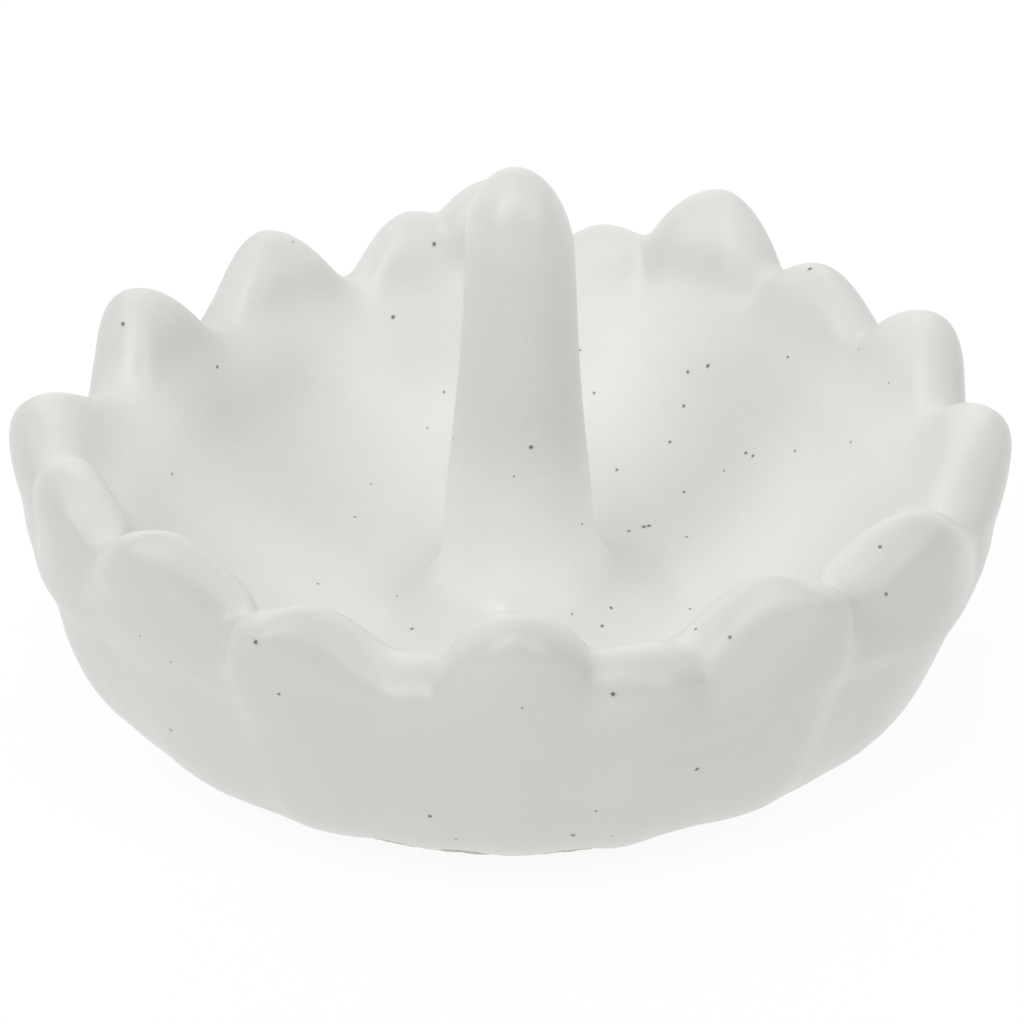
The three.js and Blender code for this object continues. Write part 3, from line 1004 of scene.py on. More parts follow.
@dataclass
class DishForm:
    """The dish as one soft form, from which the pieces are cut.

    Creases are filled as a ball of crease_radius fills them, and low down and on the inner wall
    as one of soft_radius does. A thumb then rubbed the inner wall smooth, up to rubbing_end above
    the lining's rim.
    """

    dish: PackedDish
    lattice: Lattice
    camera: PhotoCamera
    rule: PadRule = field(default_factory=PadRule)
    segments: int = 240
    # Creases between petals
    crest_radius: float = 49.0
    crease_fill: float = 2.0
    crease_radius: float = 1.0
    soft_radius: float = 6.0
    soft_below: float = 30.0
    soft_length: float = 10.0
    inner_band: float = 3.0
    inner_fade: float = 8.0
    # The lining of the bowl, and the wall behind the petals
    lining_rise: float = 13.2
    lining_slope: float = 1.5
    lining_foot: float = 32.4
    lining_bend: float = 5.0
    wall_drop: float = 4.2
    wall_foot: float = 14.0
    wall_cover: float = 1.7
    wall_inner_cover: float = 0.4
    wall_round: float = 5.0
    recess_depth: float = 1.5
    petal_cover: float = 3.6
    low_cover: float = 0.5
    # Softness of the joins and of the whole
    wall_softness: float = 3.0
    pad_softness: float = 0.4
    bowl_softness: float = 6.5
    cone_softness: float = 6.0
    foot_softness: float = 1.0
    softening: float = 0.6
    rubbing: float = 2.2
    rubbing_start: float = 1.0
    rubbing_end: float = 7.0
    unevenness: float = 0.25
    unevenness_length: float = 16.0
    seed: int = 7
    # The cone
    cone_tip_radius: float = 5.6
    cone_tip_length: float = 10.0
    cone_tip_lean: float = -0.5
    cone_lean_length: float = 14.0
    cone_stem_radius: float = 8.2
    cone_stem_rise: float = 12.0
    cone_flare: float = 3.4
    cone_flare_power: float = 2.2
    cone_foot_lean: float = 1.4
    # Painted light and shade in the glaze's colour: how light or dark it lies, and where
    painted_tone_inside: float = 0.57
    painted_tone_by_cone: float = 0.3
    painted_tone_by_cone_end: float = 20.0
    painted_tone_cone_foot: float = 0.95
    painted_tone_cone_tip: float = 0.5
    painted_tone_cone_bottom: float = 16.0
    painted_tone_cone_top: float = 56.0
    painted_tone_side_start: float = 26.0
    painted_tone_side_end: float = 33.0
    painted_tone_turn_start: float = -0.1
    painted_tone_turn_end: float = 0.7
    painted_tone_cone_start: float = 8.0
    painted_tone_cone_end: float = 11.0
    # The search for what a pixel shows
    sight_stride: float = 0.8
    sight_fineness: float = 50.0

    def spine(self, outward: float) -> Array:
        """Gives the belly line of a middling petal, moved outwards.

        Args:
            outward: the distance from the petal's middle line.

        Returns:
            Rows of radius and height, from the foot up.
        """
        reach = float(np.median([petal.reach for petal in self.dish.petals]))
        height = float(np.median([petal.height for petal in self.dish.petals]))
        corners = self.rule.corners(self.dish, reach, height)
        t = np.linspace(0, 1, self.rule.rings)[:, None]
        weights = [(1 - t) ** 3, 3 * t * (1 - t) ** 2, 3 * t * t * (1 - t), t ** 3]
        line = sum(weight * corner for weight, corner in zip(weights, corners))
        heading = np.gradient(line, axis=0)
        heading /= np.linalg.norm(heading, axis=1, keepdims=True)
        return line + outward * np.stack([heading[:, 1], -heading[:, 0]], axis=1)

    def belly(self, bottom: float, top: float, outward: float) -> Array:
        """Gives the part of the belly line between two heights, as rows of radius and height."""
        line = self.spine(outward)
        heights = np.linspace(bottom, top, self.rule.rings)
        return np.stack([np.interp(heights, line[:, 1], line[:, 0]), heights], axis=1)

    def bowl(self) -> Array:
        """Gives the distances to the bowl with its floor, outer belly and hollow inner wall."""
        dish = self.dish
        rule = self.rule
        rim = dish.floor_height + self.lining_rise
        deep = self.belly(dish.foot_height, rim, rule.half_thickness - self.petal_cover)
        full = self.belly(dish.foot_height, rim, rule.half_thickness - self.low_cover)
        rising = smooth_step(self.soft_below - self.soft_length, self.soft_below, deep[:, 1])[:, None]
        outside = full + (deep - full) * rising
        steep = self.lining_slope * self.lining_bend
        end = self.lining_foot + self.lining_bend * math.log(math.expm1(self.lining_rise / steep))
        reach = np.linspace(end, 0, rule.rings * 2)
        rise = steep * np.log1p(np.exp((reach - self.lining_foot) / self.lining_bend))
        wall = np.stack([reach, dish.floor_height + rise], axis=1)
        recess = dish.foot_height + self.recess_depth
        under = [[0, recess], [dish.foot_inner - self.recess_depth, recess]]
        outline = np.concatenate([under, outside, wall])
        return self.lattice.distances(*lathe(outline, self.segments))

    @staticmethod
    def between(places: list[tuple[float, float]], bearing: Array) -> Array:
        """Finds a value at any bearing from those at a few bearings.

        Args:
            places: a bearing and its value, for each place where the value is known.
            bearing: where it is wanted.

        Returns:
            One value for each wanted bearing.
        """
        laps = (-2 * math.pi, 0, 2 * math.pi)
        known = sorted((wrapped(turn) + lap, value) for turn, value in places for lap in laps)
        return np.interp(bearing, *np.array(known).T)

    def wall(self, petals: list[Petal]) -> Array:
        """Gives the distances to the round wall that the petals melt into below their creases.

        Args:
            petals: the petals, with their creases.

        Returns:
            The distances.
        """
        rule = self.rule
        middle = self.spine(0.0)
        steps = np.linalg.norm(np.diff(middle, axis=0), axis=1)
        below = np.concatenate([np.cumsum(steps[::-1])[::-1], [0.0]])
        bulge = np.sin(np.clip(below / rule.swell_length, 0, rule.swell_end) * math.pi / 2)
        swell = rule.swell * bulge ** rule.swell_power
        rest = np.clip(1 - below / self.wall_round, 0, 1)
        closing = np.sqrt(1 - rest ** 2)
        outward = (rule.half_thickness - self.wall_cover) * closing
        inward = (rule.half_thickness - self.wall_inner_cover) * closing + swell
        direction = self.spine(1.0) - middle
        outside = middle + outward[:, None] * direction
        inside = middle - inward[:, None] * direction
        floor = self.dish.floor_height - self.recess_depth
        inside = inside[inside[:, 1] > floor][::-1]
        ends = [[inside[-1, 0], floor], [0, floor]]
        outline = np.concatenate([[[0, middle[0, 1]]], outside, inside[1:], ends])
        points, faces = lathe(outline, self.segments)
        bearing = np.arctan2(points[:, 1], points[:, 0])
        creases = [(petal.left.bearing, petal.left.height - self.wall_drop) for petal in petals]
        tips = [(petal.bearing, petal.reach / middle[-1, 0]) for petal in petals]
        top = self.between(creases, bearing)
        share = self.between(tips, bearing)
        rising = np.clip((points[:, 2] - self.wall_foot) / (middle[-1, 1] - self.wall_foot), 0, None)
        points[:, 2] += rising * (top - middle[-1, 1])
        points[:, :2] *= (1 + (share - 1) * np.minimum(rising, 1))[:, None]
        return self.lattice.distances(points, faces)

    def foot(self) -> Array:
        """Gives the distances to the foot ring."""
        dish = self.dish
        east, north, up = self.lattice.axes()
        radius = np.hypot(east, north)
        middle = (dish.foot_inner + dish.foot_outer) / 2
        across = np.abs(radius - middle) - (dish.foot_outer - dish.foot_inner) / 2
        along = np.abs(up - dish.foot_height / 2) - dish.foot_height / 2
        inside = np.minimum(np.maximum(across, along), 0)
        return np.hypot(np.maximum(across, 0), np.maximum(along, 0)) + inside

    def cone(self) -> Array:
        """Gives the distances to the ring cone: a slow taper with a round tip."""
        dish = self.dish
        turn = np.linspace(0, math.pi / 2, self.rule.rings)
        tip = np.stack([
            self.cone_tip_radius * np.cos(turn),
            dish.cone_top - self.cone_tip_length * (1 - np.sin(turn)),
        ], axis=1)
        share = np.linspace(1, 0, self.rule.rings)
        flare = self.cone_stem_radius + self.cone_flare * share ** self.cone_flare_power
        stem = np.stack([flare, dish.floor_height + self.cone_stem_rise * (1 - share)], axis=1)
        seat = [[0, dish.cone_seat], [flare[0], dish.cone_seat]]
        outline = np.concatenate([seat, stem, tip])
        points, faces = lathe(outline, self.segments, dish.cone_centre)
        leaning = smooth_step(dish.cone_top - self.cone_lean_length, dish.cone_top, points[:, 2])
        spreading = np.clip(1 - (points[:, 2] - dish.floor_height) / self.cone_stem_rise, 0, 1) ** 2
        points[:, 0] += leaning * self.cone_tip_lean + spreading * self.cone_foot_lean
        return self.lattice.distances(points, faces)

    def trimmed(self) -> list[Petal]:
        """Gives the petals with their tips and creases where the photograph shows them."""
        bearings = []
        creases = []
        for petal in self.dish.petals:
            trim = TRIMS[petal.name]
            bearing = petal.bearing
            crease = petal.left
            if trim.tip is not None:
                bearing = self.camera.on_round(trim.tip, petal.reach, bearing)[0]
            if trim.crease is not None:
                crease = Crease(*self.camera.on_round(trim.crease, self.crest_radius, crease.bearing))
            crease = replace(crease, height=crease.height - self.crease_fill - trim.dip)
            bearings.append(bearing)
            creases.append(crease)
        return [
            replace(petal, bearing=bearings[i], height=petal.height + TRIMS[petal.name].rise,
                    right=creases[i - 1], left=creases[i])
            for i, petal in enumerate(self.dish.petals)
        ]

    def petals(self, petals: list[Petal]) -> Array:
        """Gives the distances to all the petals' pads together."""
        lattice = self.lattice
        pads = PetalPads(self.dish, self.rule)
        together = np.full(lattice.shape, lattice.band, np.float32)
        for petal in petals:
            points, faces = pads.shape(petal, TRIMS[petal.name])
            window = lattice.window(points)
            near = lattice.distances(points, faces)[window]
            together[window] = smooth_union(together[window], near, self.pad_softness)
        return together

    def uneven(self) -> Array:
        """Gives the slow rise and fall that hands leave in clay, with a fixed seed."""
        lattice = self.lattice
        draw = np.random.default_rng(self.seed)
        step = self.unevenness_length / lattice.spacing
        sizes = [math.ceil(size / step) + 3 for size in lattice.shape]
        field_values = draw.normal(size=sizes)
        for axis in range(3):
            place = np.arange(lattice.shape[axis]) / step
            whole = np.floor(place).astype(int)
            share = place - whole
            weights = np.zeros((lattice.shape[axis], sizes[axis]))
            rows = np.arange(lattice.shape[axis])
            weights[rows, whole] = (1 - share) ** 3 / 6
            weights[rows, whole + 1] = (3 * share ** 3 - 6 * share ** 2 + 4) / 6
            weights[rows, whole + 2] = (-3 * share ** 3 + 3 * share ** 2 + 3 * share + 1) / 6
            weights[rows, whole + 3 - (whole + 3 >= sizes[axis])] += share ** 3 / 6
            field_values = np.moveaxis(np.tensordot(weights, field_values, axes=(1, axis)), 0, axis)
        return (field_values * self.unevenness / field_values.std()).astype(np.float32)

    def hit(self, values: Array, pixel: tuple[float, float]) -> Array | None:
        """Finds what a pixel of the photograph shows.

        Args:
            values: the distances.
            pixel: the pixel, across and down.

        Returns:
            The place on the surface, or nothing where the pixel misses the dish.
        """
        start = self.camera.place()
        direction = self.camera.sight_line(pixel)
        close = self.lattice.spacing / self.sight_fineness
        travelled = self.camera.distance - self.dish.cone_top * 2
        while travelled < self.camera.distance * 2:
            place = start + direction * travelled
            gap = float(self.lattice.sample(values, place[None])[0])
            if gap < close:
                return place
            travelled += max(gap * self.sight_stride, close)
        return None

    def painted_light_and_shade(self, values: Array, points: Array) -> Array:
        """Gives the light and shade painted into the glaze's colour: lighter at the cone's foot, darker
        towards its tip, on the floor next to its foot and on the outside.

        Args:
            values: the distances.
            points: places on the surface.

        Returns:
            One share for each place.
        """
        normals = self.lattice.normals(values, points)
        radius = np.hypot(points[:, 0], points[:, 1])
        outward = (points[:, 0] * normals[:, 0] + points[:, 1] * normals[:, 1]) / np.maximum(radius, 1)
        outward = np.maximum(outward, -normals[:, 2])
        outside = smooth_step(self.painted_tone_turn_start, self.painted_tone_turn_end, outward)
        outside *= smooth_step(self.painted_tone_side_start, self.painted_tone_side_end, radius)
        apart = np.hypot(points[:, 0] - self.dish.cone_centre, points[:, 1])
        cone = 1 - smooth_step(self.painted_tone_cone_start, self.painted_tone_cone_end, apart)
        rising = smooth_step(self.painted_tone_cone_bottom, self.painted_tone_cone_top, points[:, 2])
        on_cone = self.painted_tone_cone_foot + (self.painted_tone_cone_tip - self.painted_tone_cone_foot) * rising
        floor = smooth_step(self.painted_tone_cone_end, self.painted_tone_by_cone_end, apart)
        inside = self.painted_tone_by_cone + (self.painted_tone_inside - self.painted_tone_by_cone) * floor
        return inside * (1 - outside) * (1 - cone) + cone * on_cone

    def build(self) -> Array:
        """Joins and softens everything.

        Returns:
            The distances to the finished dish.
        """
        lattice = self.lattice
        east, north, up = lattice.axes()
        petals = self.trimmed()
        body = smooth_union(self.petals(petals), self.wall(petals), self.wall_softness)
        body = smooth_union(body, self.bowl(), self.bowl_softness)
        log.info("petals and bowl joined")
        crisp = lattice.closed(body, self.crease_radius)
        soft = lattice.closed(body, self.soft_radius)
        line = self.spine(0.0)
        reach = np.interp(up, line[:, 1], line[:, 0]).astype(np.float32)
        rim = self.dish.floor_height + self.lining_rise
        inside = smooth_step(0.0, self.inner_band, reach - np.hypot(east, north))
        lining = inside * (1 - smooth_step(rim - self.inner_fade, rim, up))
        lining = lining * (up > self.dish.foot_height)
        low = 1 - smooth_step(self.soft_below - self.soft_length, self.soft_below, up)
        body = crisp + (soft - crisp) * np.maximum(lining, low).astype(np.float32)
        rubbed = inside * (1 - smooth_step(rim + self.rubbing_start, rim + self.rubbing_end, up))
        body += (lattice.blurred(body, self.rubbing) - body) * rubbed.astype(np.float32)
        body = smooth_union(body, self.cone(), self.cone_softness)
        body = smooth_union(body, self.foot(), self.foot_softness)
        body = lattice.blurred(body, self.softening) + self.uneven()
        for mark in HAND_MARKS:
            spot = self.hit(body, mark.pixel)
            if spot is None:
                log.warning("a hand mark misses the dish: %s", mark)
                continue
            apart = (east - spot[0]) ** 2 + (north - spot[1]) ** 2 + (up - spot[2]) ** 2
            body += mark.depth * np.exp(-apart / (2 * mark.spread ** 2)).astype(np.float32)
        return np.maximum(body, -up)


class Cut(Enum):
    """What a cut keeps of a solid."""

    INSIDE = "INTERSECT"
    OUTSIDE = "DIFFERENCE"


@dataclass
class Divider:
    """Cuts the soft form apart along the joins between the real pieces."""

    dish: PackedDish
    form: DishForm
    lattice: Lattice
    values: Array
    overrun: float = 10.0
    core_radius: float = 20.0
    slice_share: float = 3.0

    def solid(self, name: str, points: Array, faces: Array, is_joint: bool) -> bpy.types.Object:
        """Makes a solid whose faces are all skin, or all joint.

        Args:
            name: the object's name.
            points: its points in millimetres.
            faces: its faces.
            is_joint: whether the faces it leaves in a cut are joints.

        Returns:
            The object, with a place for the skin's finish and one for the joint's.
        """
        piece = mesh_object(name, points, faces)
        piece.data.materials.append(None)
        piece.data.materials.append(None)
        piece.data.polygons.foreach_set("material_index", np.full(len(faces), int(is_joint), np.int32))
        return piece

    def cut(self, solid: bpy.types.Object, cutter: bpy.types.Object, keep: Cut,
            name: str) -> bpy.types.Object:
        """Cuts one solid by another.

        Args:
            solid: what is cut.
            cutter: the solid that marks the part.
            keep: whether the part inside the cutter is kept, or the part outside.
            name: the name of the result.

        Returns:
            A new object.
        """
        modifier = solid.modifiers.new("cut", "BOOLEAN")
        modifier.object = cutter
        modifier.operation = keep.value
        modifier.solver = "MANIFOLD"
        mesh = shaped_mesh(solid)
        solid.modifiers.remove(modifier)
        return link_mesh(name, mesh)

    def turned(self, name: str, outline: list | Array, centre: float = 0.0) -> bpy.types.Object:
        """Makes a turned cutter from rows of radius and height."""
        points, faces = lathe(np.array(outline, float), self.form.segments, centre)
        return self.solid(name, points, faces, is_joint=True)

    def core(self) -> bpy.types.Object:
        """Makes the cutter that holds the foot, the bowl and the cone."""
        dish = self.dish
        outward = self.form.rule.half_thickness - self.form.petal_cover
        belly = self.form.belly(dish.foot_height, dish.rim_height, outward)
        above = dish.cone_top + self.overrun
        outline = [[0, -self.overrun], [dish.foot_outer, -self.overrun], *belly.tolist(),
                   [self.core_radius, dish.rim_height], [self.core_radius, above], [0, above]]
        return self.turned("core cutter", outline)

    def slice(self, petal: Petal) -> bpy.types.Object:
        """Makes the cutter for one petal: the slice of the round between its creases."""
        reach = self.dish.foot_outer * self.slice_share
        right = petal.right.bearing
        width = (petal.left.bearing - right) % (2 * math.pi)
        flat = [(0.0, 0.0)]
        flat += [(reach * math.cos(right + width * share), reach * math.sin(right + width * share))
                 for share in (0, 0.5, 1)]
        heights = (-self.overrun, self.dish.cone_top + self.overrun)
        points = [(x, y, height) for height in heights for x, y in flat]
        faces = [(0, 3, 2, 1), (4, 5, 6, 7)]
        faces += [(i, (i + 1) % 4, (i + 1) % 4 + 4, i + 4) for i in range(4)]
        return self.solid("slice", np.array(points), np.array(faces), is_joint=True)

    def divide(self) -> dict[str, bpy.types.Object]:
        """Cuts the form into its pieces.

        Returns:
            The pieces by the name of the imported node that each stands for.
        """
        dish = self.dish
        whole = self.solid("whole", *self.lattice.surface(self.values), is_joint=False)
        core_cutter = self.core()
        shell = self.cut(whole, core_cutter, Cut.OUTSIDE, "shell")
        core = self.cut(whole, core_cutter, Cut.INSIDE, "core")
        above = dish.cone_top + self.overrun
        column = self.turned("column", [[0, dish.cone_seat], [dish.cone_base, dish.cone_seat],
                                        [dish.cone_base, above], [0, above]], dish.cone_centre)
        under = dish.foot_outer + self.overrun
        slab = self.turned("slab", [[0, -self.overrun], [under, -self.overrun],
                                    [under, dish.foot_height], [0, dish.foot_height]])
        rest = self.cut(core, column, Cut.OUTSIDE, "rest")
        pieces = {
            "foot_ring": self.cut(rest, slab, Cut.INSIDE, "glazed_foot_ring"),
            "bowl": self.cut(rest, slab, Cut.OUTSIDE, "glazed_bowl"),
            "ring_cone": self.cut(core, column, Cut.INSIDE, "glazed_ring_cone"),
        }
        spare = [whole, core_cutter, shell, core, column, slab, rest]
        for petal in dish.petals:
            wedge = self.slice(petal)
            pieces[petal.name] = self.cut(shell, wedge, Cut.INSIDE, f"glazed_{petal.name}")
            spare.append(wedge)
        discard(*spare)
        for piece in pieces.values():
            self.smooth(piece)
        return pieces

    def smooth(self, piece: bpy.types.Object) -> None:
        """Gives the skin the light and shade painted into its glaze's colour and the whole form's
        normals, so no join shows.
        """
        mesh = piece.data
        mesh.shade_smooth()
        points = mesh_points(mesh)
        # The light and shade painted into the glaze's colour at each point.
        thickness = self.form.painted_light_and_shade(self.values, points)
        write_all(mesh, PAINTED_LIGHT_ATTRIBUTE, "FLOAT", thickness)
        corner_points = read_all(mesh.loops, "vertex_index", np.int32, 1)[:, 0]
        sizes, joint = [read_all(mesh.polygons, name, np.int32, 1)[:, 0]
                        for name in ("loop_total", "material_index")]
        flat = read_all(mesh.polygons, "normal", np.float32, 3)
        normals = self.lattice.normals(self.values, points)[corner_points]
        corner_is_joint = np.repeat(joint, sizes) == 1
        corner_flat = np.repeat(flat, sizes, axis=0)
        normals[corner_is_joint] = corner_flat[corner_is_joint]
        mesh.normals_split_custom_set(normals.astype(np.float32).tolist())


@dataclass(frozen=True)
class SpeckledGlaze:
    """Satin white tin glaze over iron-bearing stoneware, dipped and fired.

    To the eye it is an even, slightly cool off-white with a soft sheen. Light and shade are painted
    into its colour: it is lightest at the foot of the cone, as painted light, darker towards the cone's
    tip and on the floor, and darkest and greyest on the outside, as painted shade.
    Its surface has the faint ripple of melted glass over hand-pressed clay, and fine grains of
    iron make it faintly mealy. Where a speck of iron has bled up through it, it turns dark grey,
    with a soft edge.
    """

    # The darker colour is painted shade and the lighter one painted light: shaded and lit copies of the
    # same glaze.
    painted_shade_colour: str = "#d5d7d2"
    painted_light_colour: str = "#eff0ec"
    grain: str = "#cdcfc9"
    grain_share: float = 0.14
    cloud_share: float = 0.3
    iron: str = "#5c5b56"
    roughness: float = 0.32
    refraction: float = 1.5
    cloud_size: float = 9.0
    grain_size: float = 0.5
    grain_start: float = 0.5
    grain_end: float = 0.8
    ripple_size: float = 2.2
    ripple_height: float = 0.02
    iron_core: float = 0.1
    iron_edge: float = 0.8
    edge_name: str = "from middle"

    def colour(self, tree: bpy.types.NodeTree) -> bpy.types.NodeSocket:
        """Adds the glaze's cloudy, mealy colour, with its painted light and shade, to a material's tree
        and gives its socket.
        """
        place = add_node(tree, "ShaderNodeTexCoord").outputs["Object"]
        clouds = add_node(tree, "ShaderNodeTexNoise", {
            "Vector": place, "Scale": 1 / (self.cloud_size * MM), "Detail": 3.0, "Roughness": 0.6})
        centred = add_node(tree, MATH, (clouds.outputs["Fac"], 0.5), operation="SUBTRACT")
        # The painted light and shade: lighter on the cone's foot, darker towards its tip, on the floor
        # and on the outside.
        painted_tone = add_node(tree, "ShaderNodeAttribute", attribute_name=PAINTED_LIGHT_ATTRIBUTE)
        thickness = add_node(tree, MATH, (centred, self.cloud_share, painted_tone.outputs["Fac"]),
                             operation="MULTIPLY_ADD", use_clamp=True)
        cloudy = add_node(tree, "ShaderNodeMix", {
            "Factor": thickness, "A": linear(self.painted_shade_colour), "B": linear(self.painted_light_colour)}, data_type="RGBA")
        grains = add_node(tree, "ShaderNodeTexNoise", {
            "Vector": place, "Scale": 1 / (self.grain_size * MM), "Detail": 2.0, "Roughness": 0.7})
        grainy = add_node(tree, "ShaderNodeMapRange", {
            "Value": grains.outputs["Fac"], "From Min": self.grain_start, "From Max": self.grain_end,
            "To Max": self.grain_share})
        mealy = add_node(tree, "ShaderNodeMix", {
            "Factor": grainy, "A": cloudy.outputs["Result"], "B": linear(self.grain)}, data_type="RGBA")
        return mealy.outputs["Result"]

    def bled(self, tree: bpy.types.NodeTree) -> bpy.types.NodeSocket:
        """Adds the glaze's colour over a speck of iron, dark in the middle, and gives its socket."""
        edge = add_node(tree, "ShaderNodeAttribute", attribute_name=self.edge_name)
        clean = add_node(tree, "ShaderNodeMapRange", {
            "Value": edge.outputs["Fac"], "From Min": self.iron_core, "From Max": self.iron_edge},
            interpolation_type="SMOOTHSTEP")
        mixed = add_node(tree, "ShaderNodeMix", {
            "Factor": clean, "A": linear(self.iron), "B": self.colour(tree)}, data_type="RGBA")
        return mixed.outputs["Result"]

    def ripple(self, tree: bpy.types.NodeTree) -> bpy.types.NodeSocket:
        """Adds the glaze's ripple to a material's tree and gives its bump socket."""
        place = add_node(tree, "ShaderNodeTexCoord").outputs["Object"]
        waves = add_node(tree, "ShaderNodeTexNoise", {
            "Vector": place, "Scale": 1 / (self.ripple_size * MM), "Detail": 2.0})
        bump = add_node(tree, "ShaderNodeBump", {
            "Height": waves.outputs["Fac"], "Distance": self.ripple_height * MM, "Strength": 1.0})
        return bump.outputs["Normal"]

    def material(self, name: str, is_bled: bool = False) -> bpy.types.Material:
        """Makes the glaze's material.

        Args:
            name: the material's name.
            is_bled: whether it lies over specks of iron.

        Returns:
            The material.
        """
        material, shader = new_material(name, {"Roughness": self.roughness, "IOR": self.refraction})
        tree = material.node_tree
        colour = self.bled(tree) if is_bled else self.colour(tree)
        tree.links.new(colour, shader.inputs["Base Color"])
        tree.links.new(self.ripple(tree), shader.inputs["Normal"])
        return material


@dataclass(frozen=True)
class BareStoneware:
    """Pale fired clay where the glaze was wiped off before firing.

    To the eye it is a dry, warm, light grey-buff with fine grog in it. It shows on the face that
    the dish stands on and in the joins inside, and the glaze ends just above the table in a
    slightly uneven line.
    """

    body: str = "#d1cdc2"
    grog: str = "#b9b1a2"
    roughness: float = 0.85
    grog_size: float = 0.8
    grog_start: float = 0.55
    grog_end: float = 0.7
    pit_height: float = 0.04
    wiped_height: float = 0.5
    wiped_edge: float = 0.35
    wiped_wander: float = 0.5
    wander_size: float = 6.0

    def clay(self, tree: bpy.types.NodeTree, shader: bpy.types.Node) -> None:
        """Adds the clay's colour and grain to a material's tree."""
        place = add_node(tree, "ShaderNodeTexCoord").outputs["Object"]
        grains = add_node(tree, "ShaderNodeTexNoise", {
            "Vector": place, "Scale": 1 / (self.grog_size * MM), "Detail": 4.0})
        grainy = add_node(tree, "ShaderNodeMapRange", {
            "Value": grains.outputs["Fac"], "From Min": self.grog_start, "From Max": self.grog_end})
        colour = add_node(tree, "ShaderNodeMix", {
            "Factor": grainy, "A": linear(self.body), "B": linear(self.grog)}, data_type="RGBA")
        pits = add_node(tree, "ShaderNodeBump", {
            "Height": grains.outputs["Fac"], "Distance": self.pit_height * MM, "Strength": 1.0})
        shader.inputs["Roughness"].default_value = self.roughness
        tree.links.new(colour.outputs["Result"], shader.inputs["Base Color"])
        tree.links.new(pits.outputs["Normal"], shader.inputs["Normal"])

    def joint(self) -> bpy.types.Material:
        """Makes the finish of the joins inside, where clay meets clay."""
        material, shader = new_material("stoneware_joint", {})
        self.clay(material.node_tree, shader)
        return material

    def wiped_foot(self, glaze: SpeckledGlaze) -> bpy.types.Material:
        """Makes the foot's finish: glaze down its side and bare clay where it was wiped.

        Args:
            glaze: the dish's glaze.

        Returns:
            The material.
        """
        material = glaze.material("wiped_foot")
        tree = material.node_tree
        glazed = tree.nodes["Principled BSDF"]
        bare = add_node(tree, "ShaderNodeBsdfPrincipled")
        self.clay(tree, bare)
        place = add_node(tree, "ShaderNodeTexCoord").outputs["Object"]
        height = add_node(tree, "ShaderNodeSeparateXYZ", (place,)).outputs["Z"]
        wander = add_node(tree, "ShaderNodeTexNoise", {
            "Vector": place, "Scale": 1 / (self.wander_size * MM), "Detail": 2.0})
        line = add_node(tree, MATH, (
            wander.outputs["Fac"], -self.wiped_wander * MM, height), operation="MULTIPLY_ADD")
        share = add_node(tree, "ShaderNodeMapRange", {
            "Value": line, "From Min": (self.wiped_height - self.wiped_wander / 2) * MM,
            "From Max": (self.wiped_height - self.wiped_wander / 2 + self.wiped_edge) * MM})
        both = add_node(tree, "ShaderNodeMixShader", (share, bare, glazed))
        tree.links.new(both.outputs[0], tree.nodes["Material Output"].inputs["Surface"])
        return material


class SpeckSize(Enum):
    """How wide a speck of iron is: its radius with its soft edge, in millimetres."""

    BOLD = 0.46
    MIDDLE = 0.37
    FINE = 0.28
    FAINT = 0.22


PHOTO_SPECKS: dict[SpeckSize, tuple[tuple[int, int], ...]] = {
    SpeckSize.BOLD: (
        (123, 324), (393, 317), (434, 244), (531, 447), (708, 366), (649, 526), (644, 527),
        (810, 269), (613, 694), (697, 769), (430, 816), (256, 642), (573, 835),
    ),
    SpeckSize.MIDDLE: (
        (217, 367), (172, 474), (688, 372), (684, 406), (670, 442), (617, 470), (746, 453), (684, 492),
        (602, 626), (611, 608), (412, 629), (171, 730), (279, 694), (730, 637), (880, 547), (886, 594),
        (753, 456), (629, 531),
    ),
    SpeckSize.FINE: (
        (444, 392), (355, 517), (318, 584), (397, 596), (454, 438), (582, 524), (594, 393), (795, 451),
        (788, 357), (687, 537), (690, 609), (696, 629), (851, 442), (596, 811), (456, 839), (171, 662),
    ),
    SpeckSize.FAINT: (
        (293, 242), (427, 428), (371, 484), (514, 476), (580, 350), (724, 471), (859, 349), (889, 383),
        (572, 614), (522, 708), (612, 836), (140, 636),
    ),
}


